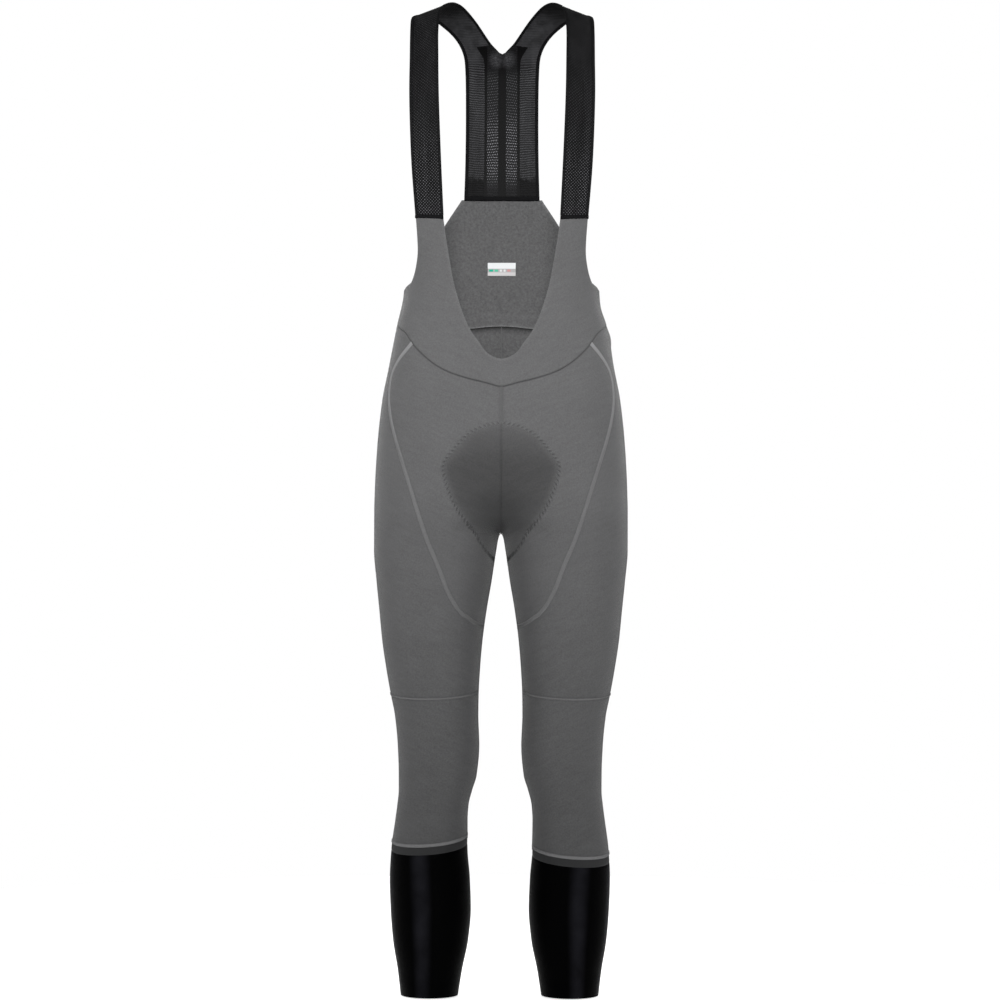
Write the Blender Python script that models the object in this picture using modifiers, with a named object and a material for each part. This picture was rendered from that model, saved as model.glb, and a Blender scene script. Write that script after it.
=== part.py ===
"""Cycling bib tights for a man of medium size, in the hollow form they take when worn.

Metres, +Z up. The front faces -Y and the wearer's left is +X. The origin lies between the two
straps at the top of the shoulders, where the wearer holds the garment up.

Every panel is cut from one skin: the outer face of the cloth round the left half of the body.
A place on the skin is a share, from 0 at the centre front and inner leg, round the outside, to
1 at the centre back and inner leg again, and a drop, the distance below the shoulders.
"""

import math
from bisect import bisect
from collections import namedtuple

import bmesh
import bpy
from mathutils import Vector

# Cloth thicknesses and the gap that is left at each seam
KNIT_WALL = 0.0014
CUFF_WALL = 0.0013
MESH_WALL = 0.0011
TAPE_WALL = 0.0010
LABEL_WALL = 0.0006
HALF_SEAM = 0.00018
LAYER_GAP = 0.0005

# The body form. Between the legs the two halves meet in a rounded crease of this radius.
CREASE = 0.005
CROTCH_DROP = 0.7261
HEM_DROP = 1.3645

Section = namedtuple("Section", "drop outer inner front back square")
SECTIONS = [
    Section(0.2550, 0.1465, -0.1465, -0.108, 0.102, 2.5),
    Section(0.3209, 0.1420, -0.1420, -0.107, 0.099, 2.5),
    Section(0.3900, 0.1350, -0.1350, -0.104, 0.093, 2.5),
    Section(0.4439, 0.1452, -0.1452, -0.102, 0.092, 2.4),
    Section(0.5006, 0.1563, -0.1563, -0.104, 0.103, 2.4),
    Section(0.5421, 0.1646, -0.1560, -0.105, 0.113, 2.4),
    Section(0.6044, 0.1715, -0.1180, -0.104, 0.124, 2.3),
    Section(0.6666, 0.1750, -0.0620, -0.101, 0.125, 2.2),
    Section(0.7000, 0.1757, -0.0190, -0.097, 0.118, 2.2),
    Section(CROTCH_DROP, 0.1757, CREASE, -0.093, 0.110, 2.1),
    Section(0.7496, 0.1757, 0.0085, -0.089, 0.103, 2.1),
    Section(0.7911, 0.1722, 0.0140, -0.085, 0.095, 2.1),
    Section(0.8326, 0.1680, 0.0207, -0.081, 0.088, 2.1),
    Section(0.8741, 0.1639, 0.0261, -0.077, 0.081, 2.1),
    Section(0.9155, 0.1577, 0.0295, -0.072, 0.074, 2.1),
    Section(0.9501, 0.1515, 0.0312, -0.068, 0.067, 2.1),
    Section(0.9778, 0.1459, 0.0315, -0.066, 0.061, 2.1),
    Section(1.0193, 0.1418, 0.0301, -0.063, 0.056, 2.1),
    Section(1.0608, 0.1404, 0.0336, -0.057, 0.055, 2.0),
    Section(1.0815, 0.1404, 0.0397, -0.053, 0.056, 2.0),
    Section(1.1023, 0.1424, 0.0446, -0.050, 0.059, 2.0),
    Section(1.1230, 0.1452, 0.0459, -0.048, 0.063, 2.0),
    Section(1.1645, 0.1507, 0.0452, -0.045, 0.070, 2.0),
    Section(1.2060, 0.1528, 0.0418, -0.043, 0.073, 2.0),
    Section(1.2475, 0.1514, 0.0404, -0.042, 0.070, 2.0),
    Section(1.2890, 0.1480, 0.0439, -0.041, 0.062, 2.0),
    Section(1.3304, 0.1411, 0.0522, -0.041, 0.052, 2.0),
    Section(HEM_DROP, 0.1369, 0.0576, -0.042, 0.046, 2.0),
]

# Seam lines. A front point is a distance from the centre line and a drop, as seen from the front,
# and a share point is a share of the way round and a drop.
SeamPoint = namedtuple("SeamPoint", "across drop")
WAIST_FRONT = [
    SeamPoint(0.0, 0.5268),
    SeamPoint(0.0203, 0.5219),
    SeamPoint(0.0447, 0.5159),
    SeamPoint(0.0688, 0.5072),
    SeamPoint(0.0858, 0.4985),
    SeamPoint(0.1030, 0.4838),
    SeamPoint(0.1178, 0.4675),
    SeamPoint(0.1342, 0.4432),
]
WAIST_SHARES = [
    SeamPoint(0.50, 0.4290),
    SeamPoint(0.62, 0.4320),
    SeamPoint(0.80, 0.4400),
    SeamPoint(0.93, 0.4400),
    SeamPoint(1.00, 0.4365),
]
INSERT_TOP_SHARE = 0.337
INSERT_EDGE = [
    SeamPoint(0.1388, 0.4958),
    SeamPoint(0.1499, 0.5233),
    SeamPoint(0.1517, 0.5465),
    SeamPoint(0.1489, 0.5712),
    SeamPoint(0.1440, 0.5986),
    SeamPoint(0.1335, 0.6327),
    SeamPoint(0.1239, 0.6627),
    SeamPoint(0.1142, 0.6940),
    SeamPoint(0.1005, 0.7348),
    SeamPoint(0.0863, 0.7688),
    SeamPoint(0.0734, 0.8028),
    SeamPoint(0.0626, 0.8232),
    SeamPoint(0.0517, 0.8370),
]
INSERT_FOOT = [SeamPoint(0.0267, 0.8535), SeamPoint(0.0341, 0.8497)]
INSERT_FOOT_DROP = 0.8560
NECK_EDGE = [
    SeamPoint(0.0, 0.4889),
    SeamPoint(0.0190, 0.4813),
    SeamPoint(0.0305, 0.4663),
    SeamPoint(0.0413, 0.4514),
    SeamPoint(0.0502, 0.4337),
    SeamPoint(0.0570, 0.4146),
    SeamPoint(0.0649, 0.3874),
    SeamPoint(0.0711, 0.3547),
    SeamPoint(0.0754, 0.3288),
    SeamPoint(0.0795, 0.2995),
]
ARMHOLE_DROP = 0.3940
ARMHOLE_EDGE = [
    SeamPoint(0.1273, 0.3889),
    SeamPoint(0.1223, 0.3798),
    SeamPoint(0.1181, 0.3664),
    SeamPoint(0.1150, 0.3462),
    SeamPoint(0.1153, 0.3257),
    SeamPoint(0.1174, 0.2968),
]
BACK_TOP_DROP = 0.2579
BACK_TOP_HALF = 0.0567
BACK_SLOPE = [SeamPoint(0.1170, 0.3690), SeamPoint(0.1010, 0.3350), SeamPoint(0.0811, 0.2960)]
HEM_LAP = 0.009
LAP_INSET = KNIT_WALL + 0.0008
LAP_STEP_STARTS = HEM_LAP + 0.002
LAP_STEP_ENDS = HEM_LAP + 0.011

# Leg seams: the drop of each at the sides of the leg, and how much lower it lies in front
KNEE_DROP = 0.9460
KNEE_DIP = 0.0064
CUFF_DROP = {"left": 1.1645, "right": 1.1483}
CUFF_DIP = 0.0045
BAND_HEIGHT = 0.0135

# The seat pad's outline, front and back, from its upper corner down to the inner thigh
PAD_FRONT_TOP = [SeamPoint(0.0, 0.5761), SeamPoint(0.0271, 0.5815), SeamPoint(0.0480, 0.5940)]
PAD_FRONT_EDGE = [
    SeamPoint(0.0705, 0.6194),
    SeamPoint(0.0787, 0.6343),
    SeamPoint(0.0760, 0.6533),
    SeamPoint(0.0651, 0.6831),
    SeamPoint(0.0519, 0.7050),
    SeamPoint(0.0369, 0.7228),
    SeamPoint(0.0230, 0.7470),
]
PAD_FOOT_DROP = 0.7720
PAD_BACK_EDGE = [
    SeamPoint(0.0280, 0.7500),
    SeamPoint(0.0520, 0.7200),
    SeamPoint(0.0740, 0.6850),
    SeamPoint(0.0830, 0.6500),
    SeamPoint(0.0780, 0.6150),
]
PAD_BACK_TOP = [SeamPoint(0.0560, 0.5850), SeamPoint(0.0300, 0.5700), SeamPoint(0.0, 0.5650)]
PAD_THICK = 0.008
PAD_SHOULDER = 0.006
PAD_EDGE = 0.0025
PAD_EDGE_GAP = 0.0016
PAD_RISE = 0.0012
PAD_SADDLE_RISE = 0.0035
PAD_SADDLE_ROWS = 4

# The strap's outer and inner edges, from the bib's front tab over the shoulder to the bib back
Station = namedtuple("Station", "outer_x outer_y outer_drop inner_x inner_y inner_drop")
TAB_OUTER = SeamPoint(0.1174, 0.2968)
TAB_INNER = SeamPoint(0.0795, 0.2995)
STRAP = [
    Station(0.1235, -0.078, 0.2180, 0.0832, -0.101, 0.2190),
    Station(0.1264, -0.076, 0.1355, 0.0864, -0.099, 0.1365),
    Station(0.1262, -0.063, 0.0778, 0.0876, -0.083, 0.0778),
    Station(0.1260, -0.044, 0.0363, 0.0878, -0.058, 0.0320),
    Station(0.1250, -0.024, 0.0179, 0.0836, -0.032, 0.0045),
    Station(0.1195, 0.002, 0.0115, 0.0692, 0.000, -0.0074),
    Station(0.1060, 0.031, 0.0086, 0.0545, 0.030, -0.0050),
    Station(0.0875, 0.058, 0.0150, 0.0380, 0.060, 0.0100),
    Station(0.0668, 0.080, 0.0313, 0.0169, 0.082, 0.0383),
    Station(0.0552, 0.092, 0.0520, 0.0006, 0.094, 0.0564),
    Station(0.0519, 0.100, 0.0809, 0.0005, 0.103, 0.0809),
    Station(0.0512, 0.104, 0.1444, 0.0005, 0.107, 0.1444),
    Station(0.0518, 0.103, 0.2078, 0.0005, 0.105, 0.2078),
]
HALF_CENTRE_GAP = 0.0005
TAPE_HEIGHT = 0.0055
INSERT_OUTER_SHARE = 0.52
INSERT_START_DROP = 0.0391
JOINED_BELOW = 0.004

# The label's size, and its place on the bib back
LABEL_HALF_WIDTH = 0.0197
LABEL_TOP_DROP = 0.3465
LABEL_BOTTOM_DROP = 0.3648

# Grid columns, as fractions of a width. They crowd at the curved seam between insert and panel.
INSERT_COLUMNS = [0.0, 0.15, 0.30, 0.45, 0.60, 0.74, 0.87, 0.96, 1.0]
SIDE_COLUMNS = [0.0, 0.10, 0.38, 0.69, 1.0]
SEAT_COLUMNS = 17
INSERT_ROWS = 15
ABOVE_KNEE_ROWS = 5
LEG_COLUMNS = 28
LOWER_LEG_ROWS = 8
BAND_ROWS = 1
CUFF_ROWS = 9
NECK_ROWS = 26
ARMHOLE_ROWS = 11
BIB_COLUMNS = 7
WING_COLUMNS = 3
BIB_BACK_COLUMNS = 11
SLOPE_ROWS = 8
STRAP_ROWS = 40
STRAP_COLUMNS = 3
PAD_ROWS = 22
PAD_COLUMNS = 7

# Steps to a line that is measured before its points are spaced, the weld of a tube's closing edge,
# and the least angle of an edge that is shaded sharp
FINE_STEPS = 240
WELD = 0.00005
SHARP_ANGLE = math.radians(50)

Finish = namedtuple("Finish", "name colour roughness")
GREY_KNIT = Finish("grey_knit", (0.115, 0.115, 0.117), 0.75)
DARK_BAND = Finish("dark_band", (0.035, 0.036, 0.038), 0.6)
BLACK_CUFF = Finish("black_cuff", (0.008, 0.008, 0.009), 0.42)
BLACK_MESH = Finish("black_mesh", (0.016, 0.016, 0.018), 0.6)
BLACK_TAPE = Finish("black_tape", (0.008, 0.008, 0.009), 0.55)
PAD_FOAM = Finish("pad_foam", (0.060, 0.060, 0.063), 0.85)
LABEL_WHITE = Finish("label_white", (0.78, 0.80, 0.80), 0.6)


def smooth(places, values, place):
    """The value at a place on a smooth curve through the values, with no overshoot between them."""
    i = min(max(bisect(places, place) - 1, 0), len(places) - 2)
    rises = []
    for k in (i - 1, i, i + 1):
        k = min(max(k, 0), len(places) - 2)
        rises.append((values[k + 1] - values[k]) / (places[k + 1] - places[k]))

    def slope(before, after):
        return 2 * before * after / (before + after) if before * after > 0 else 0.0

    start = slope(rises[0], rises[1]) if i > 0 else rises[1]
    end = slope(rises[1], rises[2]) if i < len(places) - 2 else rises[1]
    width = places[i + 1] - places[i]
    t = min(max((place - places[i]) / width, 0.0), 1.0)
    return (
        (2 * t**3 - 3 * t**2 + 1) * values[i]
        + (t**3 - 2 * t**2 + t) * width * start
        + (3 * t**2 - 2 * t**3) * values[i + 1]
        + (t**3 - t**2) * width * end
    )


def curve(points, count, measure=lambda point: point, fine=12):
    """Count + 1 points along a smooth curve through the points, evenly spaced where measure puts them."""
    ends = [2 * points[0] - points[1], *points, 2 * points[-1] - points[-2]]
    dense = []
    for a, b, c, d in zip(ends, ends[1:], ends[2:], ends[3:]):
        for k in range(fine):
            t = k / fine
            dense.append(
                b + 0.5 * t * (c - a + t * (2 * a - 5 * b + 4 * c - d + t * (3 * (b - c) + d - a)))
            )
    dense.append(points[-1])
    return evenly(dense, count, measure)


def evenly(points, count, measure=lambda point: point):
    """Count + 1 points along a line of points, evenly spaced where measure puts them."""
    placed = [measure(point) for point in points]
    reach = [0.0]
    for a, b in zip(placed, placed[1:]):
        reach.append(reach[-1] + (b - a).length)
    chosen = []
    for k in range(count + 1):
        goal = reach[-1] * k / count
        i = min(max(bisect(reach, goal) - 1, 0), len(points) - 2)
        step = reach[i + 1] - reach[i]
        chosen.append(points[i].lerp(points[i + 1], (goal - reach[i]) / step if step else 0.0))
    return chosen


Oval = namedtuple("Oval", "centre half mid front_depth back_depth square start end")


def oval(drop):
    """The outline of the body's left half at a drop, with the angles at which it starts and ends."""
    drops = [section.drop for section in SECTIONS]
    outer, inner, front, back, square = (
        smooth(drops, [section[column] for section in SECTIONS], drop) for column in range(1, 6)
    )
    centre, half, mid = (outer + inner) / 2, (outer - inner) / 2, (front + back) / 2
    reach = (centre - CREASE) / half
    rise = max(0.0, 1 - abs(reach) ** square) ** (1 / square)
    front_depth, back_depth = mid - front, back - mid
    start = math.atan2(front_depth * rise, centre - CREASE)
    end = 2 * math.pi - math.atan2(back_depth * rise, centre - CREASE)
    return Oval(centre, half, mid, front_depth, back_depth, square, start, end)


def at_angle(angle, drop):
    """The point of the skin at an angle round the half body, from its inner side by the front."""
    shape = oval(drop)
    along, across = math.cos(angle), math.sin(angle)
    depth = shape.front_depth if across > 0 else shape.back_depth
    radius = (abs(along / shape.half) ** shape.square + abs(across / depth) ** shape.square) ** (
        -1 / shape.square
    )
    x = max(shape.centre - radius * along, CREASE)
    return Vector((math.sqrt(x * x - CREASE * CREASE), shape.mid - radius * across, -drop))


def skin(spot):
    """The point of the skin at a share and a drop."""
    shape = oval(spot[1])
    return at_angle(shape.start + (shape.end - shape.start) * spot[0], spot[1])


def angle_at(seam_point, behind=False):
    """The angle of a point that is given by its distance from the centre line, front or back."""
    shape = oval(seam_point.drop)
    x = math.hypot(seam_point.across, CREASE)
    reach = min(1.0, abs(shape.centre - x) / shape.half)
    rise = (1 - reach**shape.square) ** (1 / shape.square)
    depth = shape.back_depth if behind else shape.front_depth
    angle = math.atan2(depth * rise, shape.centre - x)
    return -angle if behind else angle


def front_spot(seam_point):
    """The share and drop of a point seen from the front."""
    shape = oval(seam_point.drop)
    share = (angle_at(seam_point) - shape.start) / (shape.end - shape.start)
    return Vector((share, seam_point.drop))


def back_spot(seam_point):
    """The share and drop of a point seen from behind."""
    shape = oval(seam_point.drop)
    angle = 2 * math.pi + angle_at(seam_point, behind=True)
    return Vector(((angle - shape.start) / (shape.end - shape.start), seam_point.drop))


WAIST_SPOTS = [front_spot(p) for p in WAIST_FRONT] + [Vector(p) for p in WAIST_SHARES]


def waist(share):
    """The waist seam at a share of the way round."""
    drop = smooth([s[0] for s in WAIST_SPOTS], [s[1] for s in WAIST_SPOTS], share)
    return Vector((share, drop))


def ring(drop, dip, share):
    """A seam round the leg at a share, lower in front than at the sides."""
    return Vector((share, drop + dip * math.sin(2 * math.pi * share)))


def between(start, end, count):
    """Count + 1 spots in a straight line."""
    return [start.lerp(end, k / count) for k in range(count + 1)]


def spread(count):
    """Count + 1 evenly spaced fractions of a width."""
    return [k / count for k in range(count + 1)]


def patch(left, right, top, bottom, fractions=None):
    """Rows of spots that fill the space between four edges. The fractions place its columns."""
    rows = len(left) - 1
    fractions = fractions or spread(len(top) - 1)
    grid = []
    for i in range(rows + 1):
        v = i / rows
        row = []
        for j, u in enumerate(fractions):
            corners = (top[0].lerp(top[-1], u)).lerp(bottom[0].lerp(bottom[-1], u), v)
            row.append(left[i].lerp(right[i], u) + top[j].lerp(bottom[j], v) - corners)
        grid.append(row)
    return grid


def normal_at(place, spot):
    """The outward direction of the skin at a spot, where place turns spots into points."""
    step = 0.0005
    round_it = place(spot + Vector((step, 0))) - place(spot - Vector((step, 0)))
    down = place(spot + Vector((0, step))) - place(spot - Vector((0, step)))
    return down.cross(round_it).normalized()


def laid(grid, depth, place=skin):
    """The grid's spots as points, each moved inwards off the skin by its depth."""

    def point_at(spot, i, j):
        return place(spot) - normal_at(place, spot) * depth(i, j) if spot else None

    return [[point_at(spot, i, j) for j, spot in enumerate(row)] for i, row in enumerate(grid)]


SIDES = {"top": (-1, 0), "bottom": (1, 0), "left": (0, -1), "right": (0, 1)}


def cell(grid, i, j):
    """What stands in a grid's row and column, or None outside it."""
    return grid[i][j] if 0 <= i < len(grid) and 0 <= j < len(grid[0]) else None


def trimmed_face(face, normals, edges):
    """The face with its edge points moved off the seam, along the cloth and square to the seam."""
    rows = [list(row) for row in face]
    for i, row in enumerate(face):
        for j, point in enumerate(row):
            for side in edges.split():
                down, across = SIDES[side]
                inside = cell(face, i - down, j - across)
                if point is None or inside is None or cell(face, i + down, j + across):
                    continue
                before = cell(face, i - across, j - down) or point
                after = cell(face, i + across, j + down) or point
                inward = (after - before).cross(normals[i][j]).normalized()
                if inward.dot(inside - point) < 0:
                    inward.negate()
                rows[i][j] = rows[i][j] + inward * HALF_SEAM
    return rows


def trimmed(outer, inner, edges="top bottom left right"):
    """The outer and inner face of a piece with half a seam's gap taken off the named edges."""
    normals = [[(a - b).normalized() if a else None for a, b in zip(*rows)] for rows in zip(outer, inner)]
    return trimmed_face(outer, normals, edges), trimmed_face(inner, normals, edges)


def faces_of(grid, wall, edges="top bottom left right", inset=0.0):
    """The outer and inner face of a panel of the skin, with its seams' gaps taken off."""
    inset_at = inset if callable(inset) else lambda i, j: inset
    outer = laid(grid, inset_at)
    inner = laid(grid, lambda i, j: inset_at(i, j) + wall)
    return trimmed(outer, inner, edges)


def moved_out(grid, lift):
    """The grid's points moved off their own surface, outwards where lift is above zero."""
    moved = []
    for i, row in enumerate(grid):
        up, down = grid[max(i - 1, 0)], grid[min(i + 1, len(grid) - 1)]
        moved.append([])
        for j, point in enumerate(row):
            across = row[min(j + 1, len(row) - 1)] - row[max(j - 1, 0)]
            normal = (down[j] - up[j]).cross(across).normalized()
            moved[i].append(point + normal * lift)
    return moved


def material_of(finish):
    material = bpy.data.materials.get(finish.name)
    if material is None:
        material = bpy.data.materials.new(finish.name)
        material.use_nodes = True
        shader = material.node_tree.nodes["Principled BSDF"]
        shader.inputs["Base Color"].default_value = (*finish.colour, 1)
        shader.inputs["Roughness"].default_value = finish.roughness
        shader.inputs["Metallic"].default_value = 0.0
    return material


def sewn(name, outer, inner, finish, tube=False, whole=False):
    """A closed wall of cloth between two grids, with no cloth where a grid has None.

    A whole piece is mirrored from its left half.
    """
    bm = bmesh.new()
    bmesh.ops.create_grid(bm, x_segments=len(outer[0]) - 1, y_segments=len(outer) - 1, size=1)
    outer_points = [point for row in reversed(outer) for point in row]
    inner_points = [point for row in reversed(inner) for point in row]
    number = bm.verts.layers.int.new("number")
    for k, vert in enumerate(bm.verts):
        vert.co = outer_points[k] or vert.co
        vert[number] = k
    left_out = [vert for vert in bm.verts if outer_points[vert[number]] is None]
    bmesh.ops.delete(bm, geom=left_out, context="VERTS")
    if tube:
        bmesh.ops.remove_doubles(bm, verts=bm.verts, dist=WELD)
    copied = bmesh.ops.extrude_face_region(bm, geom=bm.faces[:], use_keep_orig=True)["geom"]
    for vert in copied:
        if isinstance(vert, bmesh.types.BMVert):
            vert.co = inner_points[vert[number]]
    if whole:
        for vert in bm.verts:
            if abs(vert.co.x) < HALF_SEAM:
                vert.co.x = 0.0
        in_plane = [face for face in bm.faces if all(vert.co.x == 0.0 for vert in face.verts)]
        bmesh.ops.delete(bm, geom=in_plane, context="FACES")
    bmesh.ops.recalc_face_normals(bm, faces=bm.faces)
    bmesh.ops.triangulate(bm, faces=bm.faces, quad_method="SHORT_EDGE")
    mesh = bpy.data.meshes.new(name)
    bm.to_mesh(mesh)
    bm.free()
    mesh.shade_smooth()
    mesh.set_sharp_from_angle(angle=SHARP_ANGLE)
    mesh.materials.append(material_of(finish))
    piece = bpy.data.objects.new(name, mesh)
    bpy.data.collections["bib_tights"].objects.link(piece)
    if whole:
        mirror = piece.modifiers.new("other half", "MIRROR")
        mirror.merge_threshold = 0.0001
        mirror.use_clip = True


def right_hand(grid):
    """The same face of the piece for the wearer's right side."""
    return [[p and Vector((-p.x, p.y, p.z)) for p in reversed(row)] for row in grid]


def pair(name, outer, inner, finish):
    """The left and the right piece."""
    sewn(name + "_left", outer, inner, finish)
    sewn(name + "_right", right_hand(outer), right_hand(inner), finish)


def insert_edge():
    """The curved seam between the front insert and the thigh panel, down to the insert's point."""
    spots = [waist(INSERT_TOP_SHARE), *map(front_spot, INSERT_EDGE)]
    return curve(spots, INSERT_ROWS, measure=skin)


def insert_foot():
    """The last run of that seam, across the inner thigh, from the inner leg out to the point."""
    spots = [Vector((0.0, INSERT_FOOT_DROP)), *map(front_spot, INSERT_FOOT), front_spot(INSERT_EDGE[-1])]
    shares, drops = [spot[0] for spot in spots], [spot[1] for spot in spots]
    run = [shares[-1] * fraction for fraction in INSERT_COLUMNS]
    return [Vector((share, smooth(shares, drops, share))) for share in run]


def waist_edge(first, last, fractions):
    return [waist(first + (last - first) * fraction) for fraction in fractions]


def down_the_seam(share, first_drop, last_drop, count):
    """Spots down the centre seam or the inner leg, evenly spaced along the cloth."""
    fine = between(Vector((share, first_drop)), Vector((share, last_drop)), FINE_STEPS)
    return evenly(fine, count, measure=skin)


def make_thigh_inserts():
    centre = down_the_seam(0.0, waist(0.0)[1], INSERT_FOOT_DROP, INSERT_ROWS)
    top = waist_edge(0.0, INSERT_TOP_SHARE, INSERT_COLUMNS)
    grid = patch(centre, insert_edge(), top, insert_foot(), INSERT_COLUMNS)
    pair("thigh_insert", *faces_of(grid, KNIT_WALL), GREY_KNIT)


def make_thigh_panels():
    """Outer thigh, seat and back of the leg. At the back it laps outside the bib back."""
    left = insert_edge()
    top = waist_edge(INSERT_TOP_SHARE, 0.5, SIDE_COLUMNS)
    for spot in waist_edge(0.5, 1.0, spread(SEAT_COLUMNS))[1:]:
        top.append(spot - Vector((0, HEM_LAP)))
    right = down_the_seam(1.0, top[-1][1], left[-1][1], INSERT_ROWS)
    fractions = [(spot[0] - INSERT_TOP_SHARE) / (1 - INSERT_TOP_SHARE) for spot in top]
    bottom = [left[-1].lerp(right[-1], fraction) for fraction in fractions]
    upper = patch(left, right, top, bottom, fractions)
    inner_thigh = insert_foot()[:-1]
    grid = [[None] * len(inner_thigh) + row for row in upper[:-1]]
    above = inner_thigh + bottom
    knee = [ring(KNEE_DROP, KNEE_DIP, spot[0]) for spot in above]
    for k in range(ABOVE_KNEE_ROWS + 1):
        grid.append([a.lerp(b, k / ABOVE_KNEE_ROWS) for a, b in zip(above, knee)])
    pair("thigh_panel", *faces_of(grid, KNIT_WALL), GREY_KNIT)


def make_bib_front():
    """A band from the centre front up to the tab, with a wing under the armhole to the side seam."""
    neck = curve([front_spot(p) for p in NECK_EDGE], NECK_ROWS, measure=skin)[::-1]
    side = between(Vector((0.5, ARMHOLE_DROP)), waist(0.5), WING_COLUMNS)
    outer = side + waist_edge(0.5, INSERT_TOP_SHARE, [1 - f for f in SIDE_COLUMNS[-2::-1]])
    outer += waist_edge(0.0, INSERT_TOP_SHARE, INSERT_COLUMNS)[-2::-1]
    armhole = curve([front_spot(p) for p in ARMHOLE_EDGE], ARMHOLE_ROWS, measure=skin)[::-1]
    level = between(neck[ARMHOLE_ROWS], armhole[-1], BIB_COLUMNS)
    full_level = level + between(armhole[-1], side[0], WING_COLUMNS)[1:]
    shoulder = between(neck[0], armhole[0], BIB_COLUMNS)
    upper = patch(neck[: ARMHOLE_ROWS + 1], armhole, shoulder, level)
    foot = between(neck[-1], outer[-1], BIB_COLUMNS + WING_COLUMNS)
    grid = [row + [None] * WING_COLUMNS for row in upper[:-1]]
    grid += patch(neck[ARMHOLE_ROWS:], outer, full_level, foot)
    sewn("bib_front", *faces_of(grid, KNIT_WALL, "top left right"), GREY_KNIT, whole=True)


def make_bib_back():
    """Its foot steps inwards, inside the top of the seat."""
    corner = back_spot(SeamPoint(BACK_TOP_HALF, BACK_TOP_DROP))

    def steps_up(share):
        return [waist(share) - Vector((0, rise)) for rise in (0.0, LAP_STEP_STARTS, LAP_STEP_ENDS)]

    armhole_foot = Vector((0.5, ARMHOLE_DROP))
    slope = curve([armhole_foot, *map(back_spot, BACK_SLOPE), corner], SLOPE_ROWS, measure=skin)
    outer = [*steps_up(0.5), *slope][::-1]
    centre = steps_up(1.0)
    centre += between(centre[-1], Vector((1, BACK_TOP_DROP)), len(outer) - len(centre))[1:]
    centre.reverse()
    top = between(corner, centre[0], BIB_BACK_COLUMNS)
    grid = patch(outer, centre, top, waist_edge(0.5, 1.0, spread(BIB_BACK_COLUMNS)))

    def inset(i, j):
        return LAP_INSET if i >= len(grid) - 2 else 0.0

    faces = faces_of(grid, KNIT_WALL, "top bottom left", inset)
    sewn("bib_back", *faces, GREY_KNIT, whole=True)


def leg_tube(name, side, edges, rows, finish, wall):
    """A tube of the leg between an upper and a lower edge, each a drop and a dip."""
    (top_drop, top_dip), (foot_drop, foot_dip) = edges
    shares = [j / LEG_COLUMNS for j in range(LEG_COLUMNS + 1)]
    top = [ring(top_drop, top_dip, share) for share in shares]
    foot = [ring(foot_drop, foot_dip, share) for share in shares]
    grid = patch(between(top[0], foot[0], rows), between(top[-1], foot[-1], rows), top, foot)
    outer, inner = faces_of(grid, wall, "top bottom")
    if side == "right":
        outer, inner = right_hand(outer), right_hand(inner)
    sewn(f"{name}_{side}", outer, inner, finish, tube=True)


def make_legs():
    for side, cuff in CUFF_DROP.items():
        knee, hem = (KNEE_DROP, KNEE_DIP), (HEM_DROP, 0.0)
        band_top, band_foot = (cuff, CUFF_DIP), (cuff + BAND_HEIGHT, CUFF_DIP)
        leg_tube("lower_leg", side, (knee, band_top), LOWER_LEG_ROWS, GREY_KNIT, KNIT_WALL)
        leg_tube("cuff_band", side, (band_top, band_foot), BAND_ROWS, DARK_BAND, CUFF_WALL)
        leg_tube("cuff", side, (band_foot, hem), CUFF_ROWS, BLACK_CUFF, CUFF_WALL)


def strap_edges():
    """The strap's outer and inner edges as lists of points, from the front tab to the bib back."""
    back_outer = back_spot(SeamPoint(BACK_TOP_HALF - 0.0007, BACK_TOP_DROP))
    outer = [skin(front_spot(TAB_OUTER))]
    inner = [skin(front_spot(TAB_INNER))]
    for s in STRAP:
        outer.append(Vector((s.outer_x, s.outer_y, -s.outer_drop)))
        inner.append(Vector((s.inner_x, s.inner_y, -s.inner_drop)))
    outer.append(skin(back_outer))
    inner.append(skin(Vector((1.0, BACK_TOP_DROP))))
    outer, inner = curve(outer, STRAP_ROWS), curve(inner, STRAP_ROWS)
    for point in inner:
        point.x = max(point.x, HALF_CENTRE_GAP)
    return outer, inner


def strap_row(outer, inner, columns, first=0.0):
    """Points across the strap, from a share of its width to its inner edge."""
    return [outer.lerp(inner, first + (1 - first) * j / columns) for j in range(columns + 1)]


def make_straps():
    outer, inner = strap_edges()
    # The strap runs from its foot at the front tab, so its rows are turned over to face outwards.
    grid = [strap_row(b, a, STRAP_COLUMNS) for a, b in zip(outer, inner)][::-1]
    pair("strap", *trimmed(grid, moved_out(grid, -MESH_WALL)), BLACK_MESH)


def make_tapes():
    """A folded tape over the foot of each strap in front, and one across both behind."""
    outer, inner = strap_edges()
    share = TAPE_HEIGHT / (outer[1] - outer[0]).length
    first = strap_row(inner[0], outer[0], STRAP_COLUMNS)
    second = strap_row(inner[1], outer[1], STRAP_COLUMNS)
    upper = [a.lerp(b, share) for a, b in zip(first, second)]
    tape = [upper, first]
    top, bottom = moved_out(tape, LAYER_GAP + TAPE_WALL), moved_out(tape, LAYER_GAP)
    pair("strap_tape", *trimmed(top, bottom, "bottom"), BLACK_TAPE)
    share = TAPE_HEIGHT / (outer[-1] - outer[-2]).length
    last = strap_row(outer[-1], inner[-1], STRAP_COLUMNS)
    above = strap_row(outer[-2], inner[-2], STRAP_COLUMNS)
    upper = [a.lerp(b, share) for a, b in zip(last, above)]
    top = moved_out([upper, last], -MESH_WALL - LAYER_GAP)
    top, bottom = trimmed(top, moved_out(top, -TAPE_WALL), "bottom")
    for row in [*top, *bottom]:
        row[-1].x = 0.0
    sewn("back_tape", top, bottom, BLACK_TAPE, whole=True)


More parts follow.
